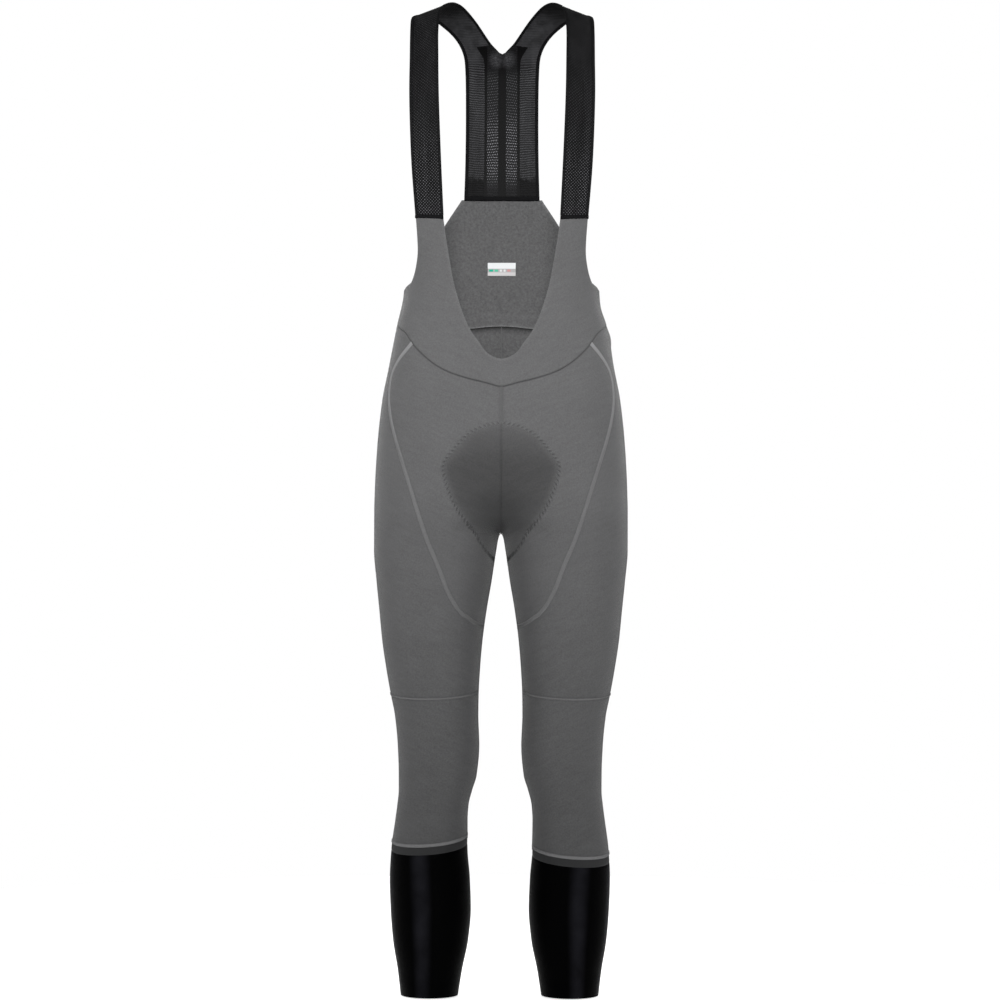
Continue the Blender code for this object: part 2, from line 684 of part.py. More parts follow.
def make_back_insert():
    """Darker ladder mesh on the inner face of the two straps, along the middle of the back."""
    outer, inner = strap_edges()
    rows = [k for k, point in enumerate(inner) if k > STRAP_ROWS // 2 and -point.z > INSERT_START_DROP]
    grid = [strap_row(outer[k], inner[k], 2, first=INSERT_OUTER_SHARE) for k in rows]
    share = (TAPE_HEIGHT + LAYER_GAP) / (outer[-1] - outer[-2]).length
    grid[-1] = [a.lerp(b, share) for a, b in zip(grid[-1], grid[-2])]
    top = moved_out(grid, -LAYER_GAP - MESH_WALL)
    bottom = moved_out(top, -MESH_WALL)
    for face in (top, bottom):
        for row in face:
            if row[-1].x < JOINED_BELOW:
                row[-1].x = 0.0
    sewn("back_insert", top, bottom, BLACK_MESH, whole=True)


def make_seat_pad():
    """A foam pad inside the crotch, thinner at its edge, as a saddle across both halves."""

    def place(spot):
        return at_angle(spot[0], spot[1])

    def spots(points, behind=False):
        return [Vector((angle_at(point, behind), point.drop)) for point in points]

    rows, columns = PAD_ROWS, PAD_COLUMNS
    drops = [PAD_FRONT_TOP[0].drop, CROTCH_DROP, PAD_BACK_TOP[-1].drop]
    front = [drops[0] + (drops[1] - drops[0]) * fraction for fraction in spread(FINE_STEPS)]
    back = [drops[1] + (drops[2] - drops[1]) * fraction for fraction in spread(FINE_STEPS)]
    middle = [Vector((oval(drop).start, drop)) for drop in front[:-1]]
    middle += [Vector((oval(drop).end - 2 * math.pi, drop)) for drop in back]
    middle = evenly(middle, rows, measure=place)
    outline = spots([PAD_FRONT_TOP[-1], *PAD_FRONT_EDGE]) + [Vector((0.0, PAD_FOOT_DROP))]
    outline += spots([*PAD_BACK_EDGE, PAD_BACK_TOP[0]], behind=True)
    outline = curve(outline, rows, measure=place)
    top = curve(spots(PAD_FRONT_TOP), columns, measure=place)
    foot = curve(spots(PAD_BACK_TOP, behind=True)[::-1], columns, measure=place)
    grid = patch(middle, outline, top, foot)
    crotch = min(range(rows + 1), key=lambda i: abs(middle[i][1] - CROTCH_DROP))

    def inset(i, j):
        near_crotch = math.exp(-(((i - crotch) / PAD_SADDLE_ROWS) ** 2)) * (1 - 0.5 * j / columns)
        return KNIT_WALL + PAD_EDGE_GAP + PAD_RISE * (1 - j / columns) + PAD_SADDLE_RISE * near_crotch

    def full_depth(i, j):
        to_edge = min(i, rows - i, columns - j)
        return inset(i, j) + (PAD_THICK if to_edge > 1 else (PAD_EDGE, PAD_SHOULDER)[to_edge])

    outer, inner = laid(grid, inset, place), laid(grid, full_depth, place)
    for row in [*outer, *inner]:
        row[0].x = 0.0
    sewn("seat_pad", outer, inner, PAD_FOAM, whole=True)


def make_size_label():
    """A small woven label on the inner face of the bib back."""
    corners = [
        back_spot(SeamPoint(LABEL_HALF_WIDTH, LABEL_TOP_DROP)),
        back_spot(SeamPoint(0.0, LABEL_TOP_DROP)),
        back_spot(SeamPoint(LABEL_HALF_WIDTH, LABEL_BOTTOM_DROP)),
        back_spot(SeamPoint(0.0, LABEL_BOTTOM_DROP)),
    ]
    top, bottom = between(corners[0], corners[1], 3), between(corners[2], corners[3], 3)
    left, right = between(corners[0], corners[2], 2), between(corners[1], corners[3], 2)
    grid = patch(left, right, top, bottom)
    faces = faces_of(grid, LABEL_WALL, "", KNIT_WALL + LAYER_GAP)
    sewn("size_label", *faces, LABEL_WHITE, whole=True)


def main():
    for old in list(bpy.data.objects):
        bpy.data.objects.remove(old)
    garment = bpy.data.collections.new("bib_tights")
    bpy.context.scene.collection.children.link(garment)
    make_bib_front()
    make_bib_back()
    make_thigh_inserts()
    make_thigh_panels()
    make_legs()
    make_straps()
    make_tapes()
    make_back_insert()
    make_seat_pad()
    make_size_label()


main()
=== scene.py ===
"""Cycling bib tights in the hollow form of wear: the cloth, sewing and finishes of every piece.

Metres, +Z up. The front faces -Y and the wearer's left is +X. A drop is a distance below the
shoulders, and a share is a place round the left half of the body, from 0 at the centre front and
inner leg, round the outside, to 1 at the centre back and inner leg again. A spot is a share and a
drop. Every panel is cut from one skin, the outer face of the cloth.
"""

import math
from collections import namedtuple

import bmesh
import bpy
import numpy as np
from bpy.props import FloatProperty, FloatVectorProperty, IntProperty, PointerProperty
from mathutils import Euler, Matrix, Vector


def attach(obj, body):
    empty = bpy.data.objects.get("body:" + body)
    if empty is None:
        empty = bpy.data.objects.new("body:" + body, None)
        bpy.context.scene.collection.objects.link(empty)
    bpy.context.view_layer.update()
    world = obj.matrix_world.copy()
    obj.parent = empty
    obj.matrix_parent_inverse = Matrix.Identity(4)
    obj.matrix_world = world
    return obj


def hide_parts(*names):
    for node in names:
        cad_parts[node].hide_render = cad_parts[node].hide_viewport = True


bl_info = {
    "name": "Cycling bib tights",
    "version": (1, 0, 0),
    "blender": (4, 5, 0),
    "location": "3D View > Sidebar > Bib tights",
    "description": "Builds the panels, straps, seams and pad of a pair of cycling bib tights",
    "category": "Object",
}

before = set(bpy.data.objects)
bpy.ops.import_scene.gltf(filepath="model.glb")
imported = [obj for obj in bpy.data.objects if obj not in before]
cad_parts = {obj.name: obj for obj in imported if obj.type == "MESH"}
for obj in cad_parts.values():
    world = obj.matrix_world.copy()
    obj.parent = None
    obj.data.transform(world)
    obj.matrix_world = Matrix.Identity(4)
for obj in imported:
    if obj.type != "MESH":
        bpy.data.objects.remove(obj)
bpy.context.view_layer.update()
BODY = "root"

# The body form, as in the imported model. Between the legs the halves meet in a crease of this radius.
CREASE = 0.005
CROTCH_DROP = 0.7261
HEM_DROP = 1.3645
SIDES = ("left", "right")
Section = namedtuple("Section", "drop outer inner front back square")
SECTIONS = [
    Section(0.2550, 0.1465, -0.1465, -0.108, 0.102, 2.5),
    Section(0.3209, 0.1420, -0.1420, -0.107, 0.099, 2.5),
    Section(0.3900, 0.1350, -0.1350, -0.104, 0.093, 2.5),
    Section(0.4439, 0.1452, -0.1452, -0.102, 0.092, 2.4),
    Section(0.5006, 0.1563, -0.1563, -0.104, 0.103, 2.4),
    Section(0.5421, 0.1646, -0.1560, -0.105, 0.113, 2.4),
    Section(0.6044, 0.1715, -0.1180, -0.104, 0.124, 2.3),
    Section(0.6666, 0.1750, -0.0620, -0.101, 0.125, 2.2),
    Section(0.7000, 0.1757, -0.0190, -0.097, 0.118, 2.2),
    Section(CROTCH_DROP, 0.1757, CREASE, -0.093, 0.110, 2.1),
    Section(0.7496, 0.1757, 0.0085, -0.089, 0.103, 2.1),
    Section(0.7911, 0.1722, 0.0140, -0.085, 0.095, 2.1),
    Section(0.8326, 0.1680, 0.0207, -0.081, 0.088, 2.1),
    Section(0.8741, 0.1639, 0.0261, -0.077, 0.081, 2.1),
    Section(0.9155, 0.1577, 0.0295, -0.072, 0.074, 2.1),
    Section(0.9501, 0.1515, 0.0312, -0.068, 0.067, 2.1),
    Section(0.9778, 0.1459, 0.0315, -0.066, 0.061, 2.1),
    Section(1.0193, 0.1418, 0.0301, -0.063, 0.056, 2.1),
    Section(1.0608, 0.1404, 0.0336, -0.057, 0.055, 2.0),
    Section(1.0815, 0.1404, 0.0397, -0.053, 0.056, 2.0),
    Section(1.1023, 0.1424, 0.0446, -0.050, 0.059, 2.0),
    Section(1.1230, 0.1452, 0.0459, -0.048, 0.063, 2.0),
    Section(1.1645, 0.1507, 0.0452, -0.045, 0.070, 2.0),
    Section(1.2060, 0.1528, 0.0418, -0.043, 0.073, 2.0),
    Section(1.2475, 0.1514, 0.0404, -0.042, 0.070, 2.0),
    Section(1.2890, 0.1480, 0.0439, -0.041, 0.062, 2.0),
    Section(1.3304, 0.1411, 0.0522, -0.041, 0.052, 2.0),
    Section(HEM_DROP, 0.1369, 0.0576, -0.042, 0.046, 2.0),
]

# Seam lines. A front or back point is a distance from the centre line and a drop.
SeamPoint = namedtuple("SeamPoint", "across drop")


def seam_points(*rows):
    return [SeamPoint(*row) for row in rows]


WAIST_FRONT = seam_points(
    (0.0, 0.5268),
    (0.0203, 0.5219),
    (0.0447, 0.5159),
    (0.0688, 0.5082),
    (0.0858, 0.4998),
    (0.1030, 0.4870),
    (0.1178, 0.4722),
    (0.1342, 0.4495),
)
# The same seam behind, as spots
WAIST_BEHIND = [
    (0.50, 0.4385), (0.60, 0.4325), (0.80, 0.4415),
    (0.90, 0.4388), (0.95, 0.4370), (1.00, 0.4362),
]
INSERT_TOP_SHARE = 0.337
INSERT_EDGE = seam_points(
    (0.1400, 0.4880),
    (0.1505, 0.5090),
    (0.1542, 0.5380),
    (0.1515, 0.5680),
    (0.1440, 0.5986),
    (0.1335, 0.6327),
    (0.1239, 0.6627),
    (0.1142, 0.6940),
    (0.1005, 0.7348),
    (0.0863, 0.7688),
    (0.0734, 0.8028),
    (0.0626, 0.8232),
    (0.0517, 0.8370),
)
INSERT_FOOT = [SeamPoint(0.0267, 0.8535), SeamPoint(0.0341, 0.8497)]
INSERT_FOOT_DROP = 0.8560
NECK_EDGE = seam_points(
    (0.0, 0.4889),
    (0.0190, 0.4813),
    (0.0305, 0.4663),
    (0.0413, 0.4514),
    (0.0502, 0.4337),
    (0.0570, 0.4146),
    (0.0649, 0.3874),
    (0.0711, 0.3547),
    (0.0754, 0.3288),
    (0.0795, 0.2995),
)
NECK_SPLIT = 11 / 26
ARMHOLE_DROP = 0.3940
ARMHOLE_EDGE = seam_points(
    (0.1273, 0.3889),
    (0.1223, 0.3798),
    (0.1181, 0.3664),
    (0.1150, 0.3462),
    (0.1153, 0.3257),
    (0.1174, 0.2968),
)
BACK_TOP_DROP = 0.2579
BACK_TOP_HALF = 0.0567
BACK_SLOPE = [SeamPoint(0.1170, 0.3690), SeamPoint(0.1010, 0.3350), SeamPoint(0.0811, 0.2960)]
HEM_LAP = 0.009
LAP_INSET = 0.0022
LAP_STEP_STARTS = HEM_LAP + 0.002
LAP_STEP_ENDS = HEM_LAP + 0.011
# The knee seam and the rings of the cuff: a drop, a dip in front, and a lean to the outer side
KNEE_DROP = 0.9460
KNEE = (KNEE_DROP, 0.0064, 0.0022)
CUFF_DROP = {"left": 1.1645, "right": 1.1483}
CUFF_SLANT = (0.0066, 0.0045)
BAND_HEIGHT = 0.0125
PAD_FRONT = seam_points(
    (0.0, 0.5761),
    (0.0271, 0.5815),
    (0.0480, 0.5940),
    (0.0705, 0.6194),
    (0.0787, 0.6343),
    (0.0760, 0.6533),
    (0.0651, 0.6831),
    (0.0519, 0.7050),
    (0.0369, 0.7228),
    (0.0230, 0.7470),
)
PAD_FOOT_DROP = 0.7720
PAD_BACK = seam_points(
    (0.0, 0.5650),
    (0.0300, 0.5700),
    (0.0560, 0.5850),
    (0.0780, 0.6150),
    (0.0830, 0.6500),
    (0.0740, 0.6850),
    (0.0520, 0.7200),
    (0.0280, 0.7500),
)

# The strap's outer and inner edges, from the bib's front tab over the shoulder to the bib back
Station = namedtuple("Station", "outer_x outer_y outer_drop inner_x inner_y inner_drop")
TAB_OUTER = SeamPoint(0.1174, 0.2968)
TAB_INNER = SeamPoint(0.0795, 0.2995)
STRAP = [
    Station(0.1235, -0.078, 0.2180, 0.0832, -0.101, 0.2190),
    Station(0.1264, -0.076, 0.1355, 0.0864, -0.099, 0.1365),
    Station(0.1262, -0.063, 0.0778, 0.0876, -0.083, 0.0778),
    Station(0.1260, -0.044, 0.0363, 0.0878, -0.058, 0.0320),
    Station(0.1250, -0.024, 0.0179, 0.0836, -0.032, 0.0045),
    Station(0.1195, 0.002, 0.0115, 0.0692, 0.000, -0.0074),
    Station(0.1060, 0.031, 0.0086, 0.0545, 0.030, -0.0050),
    Station(0.0875, 0.058, 0.0150, 0.0380, 0.060, 0.0100),
    Station(0.0668, 0.080, 0.0313, 0.0169, 0.082, 0.0383),
    Station(0.0552, 0.092, 0.0520, 0.0006, 0.094, 0.0564),
    Station(0.0519, 0.100, 0.0809, 0.0005, 0.103, 0.0809),
    Station(0.0512, 0.104, 0.1444, 0.0005, 0.107, 0.1444),
    Station(0.0518, 0.103, 0.2078, 0.0005, 0.105, 0.2078),
]
STRAP_LENGTH = 0.75
STRAP_WIDTH = 0.042
STRAP_ROWS = 170
HALF_CENTRE_GAP = 0.0005
LAYER_GAP = 0.0005
INSERT_OUTER_SHARE = 0.52
INSERT_START_DROP = 0.0391
TAPE_HEIGHT = 0.0055
LABEL_HALF_WIDTH = 0.0197
LABEL_TOP_DROP = 0.3465
LABEL_BOTTOM_DROP = 0.3648
LABEL_WALL = 0.0005

# Extra grid lines lie this far from a panel's edge. A share times the half girth is a usual distance
# round the half body, and points closer than the weld distance become one.
EDGE_LINES = np.array([0.0007, 0.0018])
HALF_GIRTH = 0.44
WELD = 0.00003


def unit(vectors):
    return vectors / np.maximum(np.linalg.norm(vectors, axis=-1, keepdims=True), 1e-12)


def ease(low, high, value):
    """0 below low, 1 above high, and a smooth rise between them."""
    t = np.clip((value - low) / (high - low), 0.0, 1.0)
    return t * t * (3 - 2 * t)


def smooth(places, values, at):
    """Values at some places on a smooth curve through the table, with no overshoot between rows."""
    places, values = np.asarray(places, float), np.asarray(values, float)
    rise = np.diff(values, axis=0) / np.diff(places)[:, None]
    before, after = rise[:-1], rise[1:]
    slope = np.vstack([rise[:1], np.zeros_like(before), rise[-1:]])
    same = before * after > 0
    slope[1:-1][same] = (2 * before * after)[same] / (before + after)[same]
    i = np.clip(np.searchsorted(places, at, side="right") - 1, 0, len(places) - 2)
    width = (places[i + 1] - places[i])[..., None]
    t = np.clip((at - places[i])[..., None] / width, 0.0, 1.0)
    return (
        (2 * t**3 - 3 * t**2 + 1) * values[i]
        + (t**3 - 2 * t**2 + t) * width * slope[i]
        + (3 * t**2 - 2 * t**3) * values[i + 1]
        + (t**3 - t**2) * width * slope[i + 1]
    )


Outline = namedtuple("Outline", "centre half mid front back square start end")


def outline(drop):
    """The outline of the body's left half at each drop, with the angles at which it starts and ends."""
    columns = smooth([s.drop for s in SECTIONS], [s[1:] for s in SECTIONS], np.asarray(drop, float))
    outer, inner, front, back, square = np.moveaxis(columns, -1, 0)
    centre, half, mid = (outer + inner) / 2, (outer - inner) / 2, (front + back) / 2
    reach = (centre - CREASE) / half
    rise = np.maximum(0.0, 1 - np.abs(reach) ** square) ** (1 / square)
    start = np.arctan2((mid - front) * rise, centre - CREASE)
    end = 2 * math.pi - np.arctan2((back - mid) * rise, centre - CREASE)
    return Outline(centre, half, mid, mid - front, back - mid, square, start, end)


def at_angle(angle, drop):
    """The points of the skin at angles round the half body, from its inner side by the front."""
    shape = outline(drop)
    along, across = np.cos(angle), np.sin(angle)
    depth = np.where(across > 0, shape.front, shape.back)
    ratios = np.abs(along / shape.half) ** shape.square + np.abs(across / depth) ** shape.square
    radius = ratios ** (-1 / shape.square)
    x = np.maximum(shape.centre - radius * along, CREASE)
    y = shape.mid - radius * across
    return np.stack([np.sqrt(x * x - CREASE * CREASE), y, -np.asarray(drop, float)], -1)


def skin(spots):
    """The points of the skin at some spots."""
    spots = np.asarray(spots, float)
    shape = outline(spots[..., 1])
    return at_angle(shape.start + (shape.end - shape.start) * spots[..., 0], spots[..., 1])


def angles_of(across, drop, behind=False):
    """The angles of points that are given by their distance from the centre line, front or back."""
    shape = outline(drop)
    x = np.hypot(across, CREASE)
    reach = np.minimum(1.0, np.abs(shape.centre - x) / shape.half)
    rise = (1 - reach**shape.square) ** (1 / shape.square)
    depth = shape.back if behind else shape.front
    angle = np.arctan2(depth * rise, shape.centre - x)
    return -angle if behind else angle


def front_spots(points, behind=False):
    """The spots of points that are given by their distance from the centre line, front or back."""
    across, drop = np.moveaxis(np.asarray(points, float), -1, 0)
    shape = outline(drop)
    angle = angles_of(across, drop, behind) + (2 * math.pi if behind else 0)
    return np.stack([(angle - shape.start) / (shape.end - shape.start), drop], -1)


def front_spot(seam_point):
    return front_spots([seam_point])[0]


def back_spot(seam_point):
    return front_spots([seam_point], behind=True)[0]


def curve(points, fine=12, mirrored=False):
    """A fine line along a smooth curve through the points. A mirrored one starts level at the centre."""
    points = np.asarray(points, float)
    before = points[1] * (-1, 1) if mirrored else 2 * points[0] - points[1]
    ends = np.vstack([before, points, 2 * points[-1] - points[-2]])
    t = (np.arange(fine) / fine)[:, None]
    runs = []
    for a, b, c, d in zip(ends, ends[1:], ends[2:], ends[3:]):
        runs.append(b + 0.5 * t * (c - a + t * (2 * a - 5 * b + 4 * c - d + t * (3 * (b - c) + d - a))))
    return np.vstack([*runs, points[-1:]])


def reach_along(placed):
    """The distance along a line of points to each of them."""
    steps = np.linalg.norm(np.diff(placed, axis=0), axis=1)
    return np.concatenate([[0.0], np.cumsum(steps)])


def sample(line, fractions, measure=skin):
    """Places at fractions of a line's length, where measure turns its places into points."""
    reach = reach_along(measure(line))
    at = np.asarray(fractions) * reach[-1]
    return np.stack([np.interp(at, reach, column) for column in np.asarray(line).T], -1)


def straight(start, end, count=240):
    """A fine straight line between two spots."""
    return np.linspace(np.asarray(start, float), np.asarray(end, float), count + 1)


WAIST_SPOTS = np.vstack([front_spots(WAIST_FRONT), WAIST_BEHIND])


def waist(share):
    """The waist seam's spots at some shares of the way round."""
    share = np.asarray(share, float)
    drop = smooth(WAIST_SPOTS[:, 0], WAIST_SPOTS[:, 1:], share)[..., 0]
    return np.stack([share, drop], -1)


def ring(drop, dip, lean, share):
    """A seam round the leg, lower in front than behind by the dip, and lower outside by the lean."""
    turn = 2 * math.pi * np.asarray(share, float)
    return np.stack([turn / (2 * math.pi), drop + dip * np.sin(turn) - lean * np.cos(turn)], -1)


def insert_edge():
    """The curved seam between the front insert and the thigh panel, down to the insert's point."""
    top = waist(INSERT_TOP_SHARE)
    edge = curve([(skin(top)[0], top[1]), *INSERT_EDGE], fine=60)
    return np.vstack([top, front_spots(edge)[1:]])


def insert_foot(fractions):
    """The last run of that seam, across the inner thigh, from the inner leg out to the point."""
    spots = np.vstack([(0.0, INSERT_FOOT_DROP), front_spots([*INSERT_FOOT, INSERT_EDGE[-1]])])
    share = spots[-1, 0] * np.asarray(fractions)
    return np.stack([share, smooth(spots[:, 0], spots[:, 1:], share)[..., 0]], -1)


# Soft folds of the stretched cloth, as troughs below 0 and ridges above it, in millimetres. Each
# runs between two spots of one leg or side of the body.
Fold = namedtuple("Fold", "share drop to_share to_drop width_mm height_mm")
FOLDS = {
    "left": [
        Fold(0.02, 0.716, 0.115, 0.668, 10, -0.35),
        Fold(0.02, 0.742, 0.135, 0.722, 10, -0.45),
        Fold(0.03, 0.772, 0.120, 0.778, 11, -0.35),
        Fold(0.48, 0.444, 0.50, 0.470, 16, 3.2),
        Fold(0.44, 0.420, 0.52, 0.412, 12, -1.2),
        Fold(0.30, 0.520, 0.22, 0.640, 26, 0.9),
        Fold(0.99, 0.733, 0.88, 0.700, 9, -1.6),
        Fold(0.98, 0.760, 0.84, 0.742, 11, -1.8),
        Fold(0.97, 0.800, 0.86, 0.806, 12, -1.2),
        Fold(0.88, 0.600, 0.70, 0.566, 20, -1.0),
        Fold(0.62, 0.480, 0.72, 0.530, 16, -0.9),
        Fold(0.70, 0.985, 0.83, 0.992, 9, -1.7),
        Fold(0.66, 1.012, 0.86, 1.020, 8, -2.0),
        Fold(0.69, 1.040, 0.81, 1.046, 9, -1.6),
        Fold(0.20, 1.060, 0.36, 1.052, 12, -0.9),
        Fold(0.16, 1.000, 0.34, 0.990, 20, 1.2),
        Fold(0.58, 1.118, 0.80, 1.126, 10, -0.9),
        Fold(0.10, 1.215, 0.30, 1.232, 10, -0.5),
        Fold(0.55, 1.318, 0.85, 1.324, 7, -0.8),
        Fold(0.12, 1.338, 0.42, 1.332, 7, -0.5),
    ],
    "right": [
        Fold(0.02, 0.718, 0.105, 0.676, 10, -0.35),
        Fold(0.02, 0.745, 0.150, 0.727, 10, -0.4),
        Fold(0.03, 0.780, 0.115, 0.784, 11, -0.3),
        Fold(0.29, 0.530, 0.21, 0.650, 28, 0.9),
        Fold(0.99, 0.736, 0.87, 0.704, 10, -1.6),
        Fold(0.98, 0.764, 0.86, 0.748, 10, -1.6),
        Fold(0.97, 0.812, 0.84, 0.820, 13, -1.2),
        Fold(0.86, 0.590, 0.68, 0.560, 22, -1.0),
        Fold(0.60, 0.486, 0.70, 0.540, 15, -0.8),
        Fold(0.68, 0.978, 0.82, 0.984, 9, -1.5),
        Fold(0.67, 1.006, 0.85, 1.012, 8, -2.0),
        Fold(0.70, 1.034, 0.83, 1.040, 9, -1.7),
        Fold(0.18, 1.066, 0.34, 1.058, 12, -0.9),
        Fold(0.15, 0.996, 0.33, 0.986, 20, 1.2),
        Fold(0.60, 1.110, 0.82, 1.120, 10, -0.9),
        Fold(0.12, 1.205, 0.32, 1.220, 11, -0.5),
        Fold(0.57, 1.310, 0.84, 1.318, 7, -0.8),
        Fold(0.15, 1.342, 0.40, 1.336, 7, -0.5),
    ],
}


def fold_height(place, folds, width, length):
    """How high the folds stand at places in metres. A fold's ends are shares of a width and a length."""
    height = np.zeros(place.shape[:-1])
    for fold in folds:
        start = np.array([fold.share * width, fold.drop * length])
        run = np.array([fold.to_share * width, fold.to_drop * length]) - start
        t = np.clip(((place - start) @ run) / (run @ run), 0.0, 1.0)
        away = np.linalg.norm(place - start - t[..., None] * run, axis=-1) * 1000 / fold.width_mm
        height += fold.height_mm / 1000 * np.exp(-away * away) * (0.35 + 0.65 * np.sin(math.pi * t))
    return height


def relief(spots, side):
    """How far the folds lift the cloth off the plain skin at each spot, in metres."""
    lift = fold_height(spots * (HALF_GIRTH, 1.0), FOLDS[side], HALF_GIRTH, 1.0)
    above_crotch = 1 - ease(CROTCH_DROP - 0.01, CROTCH_DROP + 0.03, spots[..., 1])
    from_centre = np.minimum(spots[..., 0], 1 - spots[..., 0]) * HALF_GIRTH
    return lift * (1 - above_crotch * (1 - ease(0.0, 0.02, from_centre)))


def body_normal(spots, place=skin):
    """The outward direction at each spot of a surface that place turns spots into."""
    step = 0.0005
    round_it = place(spots + (step, 0)) - place(spots - (step, 0))
    down = place(spots + (0, step)) - place(spots - (0, step))
    return unit(np.cross(down, round_it))


def laid(spots, side="left", lift=0.0):
    """Points of the folded cloth at some spots of one side, moved out by a lift."""
    height = relief(spots, side) + lift
    points = skin(spots) + body_normal(spots) * height[..., None]
    points[..., 0] = np.maximum(points[..., 0], 0.0)
    points[..., 0] *= -1 if side == "right" else 1
    return points


def lines(length, cell):
    """Fractions of a width for a grid's lines, with extra lines close to both edges."""
    near = EDGE_LINES / length
    even = np.linspace(0, 1, max(2, round(length / cell)) + 1)
    even = even[(even > 1.4 * near[-1]) & (even < 1 - 1.4 * near[-1])]
    return np.concatenate([[0.0], near, even, 1 - near[::-1], [1.0]])


def patch(left, right, top, bottom, down, across):
    """Spots that fill the space between four edges."""
    u, v = across[None, :, None], down[:, None, None]
    between_sides = left[:, None] * (1 - u) + right[:, None] * u
    between_ends = top[None] * (1 - v) + bottom[None] * v
    corners = (top[0] * (1 - u) + top[-1] * u) * (1 - v) + (bottom[0] * (1 - u) + bottom[-1] * u) * v
    return between_sides + between_ends - corners


def nearest_on(points, line):
    """The distance of each point from a line of points, and how far along the line its nearest place is."""
    start, run = line[:-1], np.diff(line, axis=0)
    square = np.maximum(np.sum(run * run, -1), 1e-12)
    reach = reach_along(line)
    flat = points.reshape(-1, 3)
    away, along = np.zeros(len(flat)), np.zeros(len(flat))
    for k in range(0, len(flat), 2000):
        gap = flat[k : k + 2000, None] - start
        t = np.clip(np.sum(gap * run, -1) / square, 0, 1)
        distance = np.linalg.norm(gap - t[..., None] * run, axis=-1)
        best = distance.argmin(axis=1)[:, None]
        away[k : k + 2000] = np.take_along_axis(distance, best, 1)[:, 0]
        along[k : k + 2000] = np.take_along_axis(reach[:-1] + t * np.sqrt(square), best, 1)[:, 0]
    return away.reshape(points.shape[:-1]), along.reshape(points.shape[:-1])


def away_from(points, line):
    return nearest_on(points, line)[0]


def near_lines(spots, seams, reach):
    """1 on the seam lines and 0 a few times the reach away from them."""
    if not seams:
        return np.zeros(spots.shape[:-1])
    placed = skin(spots)
    away = np.minimum.reduce([away_from(placed, skin(seam)) for seam in seams])
    return np.exp(-((away / reach) ** 2))


Sheet = namedtuple("Sheet", "points uv marks turned")
# A seam's dark is how much painted shade darkens the cloth along its lines.
Seams = namedtuple("Seams", "lines reach_mm dip_mm dark")


def body_sheet(spots, side, seams, lift=0.0, marks=None):
    """A grid of cloth on the body, pressed in along its sewn edges and darkened there with painted shade.
    """
    dark = np.zeros(spots.shape[:-1])
    for seam in seams:
        near = near_lines(spots, seam.lines, seam.reach_mm / 1000)
        lift = lift - near * seam.dip_mm / 1000
        dark = np.maximum(dark, near * seam.dark)
    uv = spots * (HALF_GIRTH if side == "left" else -HALF_GIRTH, 1.0)
    return Sheet(laid(spots, side, lift), uv, {"seam": dark, **(marks or {})}, side == "right")


def joined_mesh(name, sheets, caps=False):
    """A mesh of grids of points, welded where they meet. Caps close a swept tube's two ends."""
    vertices, uvs, faces, marks = [], [], [], {}
    start = 0
    for sheet in sheets:
        rows, columns = sheet.points.shape[:2]
        number = start + np.arange(rows * columns).reshape(rows, columns)
        quads = np.stack([number[:-1, :-1], number[1:, :-1], number[1:, 1:], number[:-1, 1:]], -1)
        quads = quads.reshape(-1, 4)
        faces += (quads[:, ::-1] if sheet.turned else quads).tolist()
        if caps:
            first, last = number[0, :-1].tolist(), number[-1, :-1].tolist()
            faces += [first[::-1], last] if sheet.turned else [first, last[::-1]]
        vertices.append(sheet.points.reshape(-1, 3))
        uvs.append(sheet.uv.reshape(-1, 2))
        for mark in sheet.marks:
            marks.setdefault(mark, {})[start] = np.asarray(sheet.marks[mark], np.float32).reshape(-1)
        start += rows * columns
    mesh = bpy.data.meshes.new(name)
    mesh.from_pydata(np.vstack(vertices).tolist(), [], faces)
    corner = np.zeros(len(mesh.loops), np.int32)
    mesh.loops.foreach_get("vertex_index", corner)
    layer = mesh.uv_layers.new(name="cloth")
    layer.data.foreach_set("uv", np.vstack(uvs)[corner].astype(np.float32).ravel())
    for mark, parts in marks.items():
        values = np.zeros(start, np.float32)
        for first, part in parts.items():
            values[first : first + len(part)] = part
        attribute = mesh.attributes.new(mark, "FLOAT", "POINT")
        attribute.data.foreach_set("value", values)
    bm = bmesh.new()
    bm.from_mesh(mesh)
    bmesh.ops.remove_doubles(bm, verts=bm.verts, dist=WELD)
    bmesh.ops.dissolve_degenerate(bm, edges=bm.edges, dist=1e-6)
    bm.to_mesh(mesh)
    bm.free()
    return mesh


def in_scene(name, data):
    made = bpy.data.objects.new(name, data)
    bpy.context.scene.collection.objects.link(made)
    return made


def plain_mesh(piece):
    """Turns a piece and its modifiers into one plain mesh."""
    depsgraph = bpy.context.evaluated_depsgraph_get()
    made = bpy.data.meshes.new_from_object(piece.evaluated_get(depsgraph))
    piece.modifiers.clear()
    before, piece.data = piece.data, made
    bpy.data.meshes.remove(before)
    made.name = piece.name


def piece_from(name, mesh, finishes, wall=0.0, sharp=50):
    """An object of a mesh. A wall gives the cloth its thickness, inwards from the mesh."""
    piece = in_scene(name, mesh)
    for finish in finishes:
        mesh.materials.append(finish)
    if wall:
        solid = piece.modifiers.new("wall", "SOLIDIFY")
        solid.thickness = wall
        solid.offset = -1
        solid.use_even_offset = True
        solid.material_offset = len(finishes) - 1
        plain_mesh(piece)
    piece.data.shade_smooth()
    piece.data.set_sharp_from_angle(angle=math.radians(sharp))
    return piece


# The size that each cloth was cut to, flat and slack, all round where it is a tube. Worn, the knit is
# stretched by about a tenth.
Cut = namedtuple("Cut", "width length area held")


def hand_over(piece, replaced=()):
    """Gives a finished piece to the frame, and hides the CAD nodes that it replaces."""
    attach(piece, BODY)
    if replaced:
        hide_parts(*replaced)


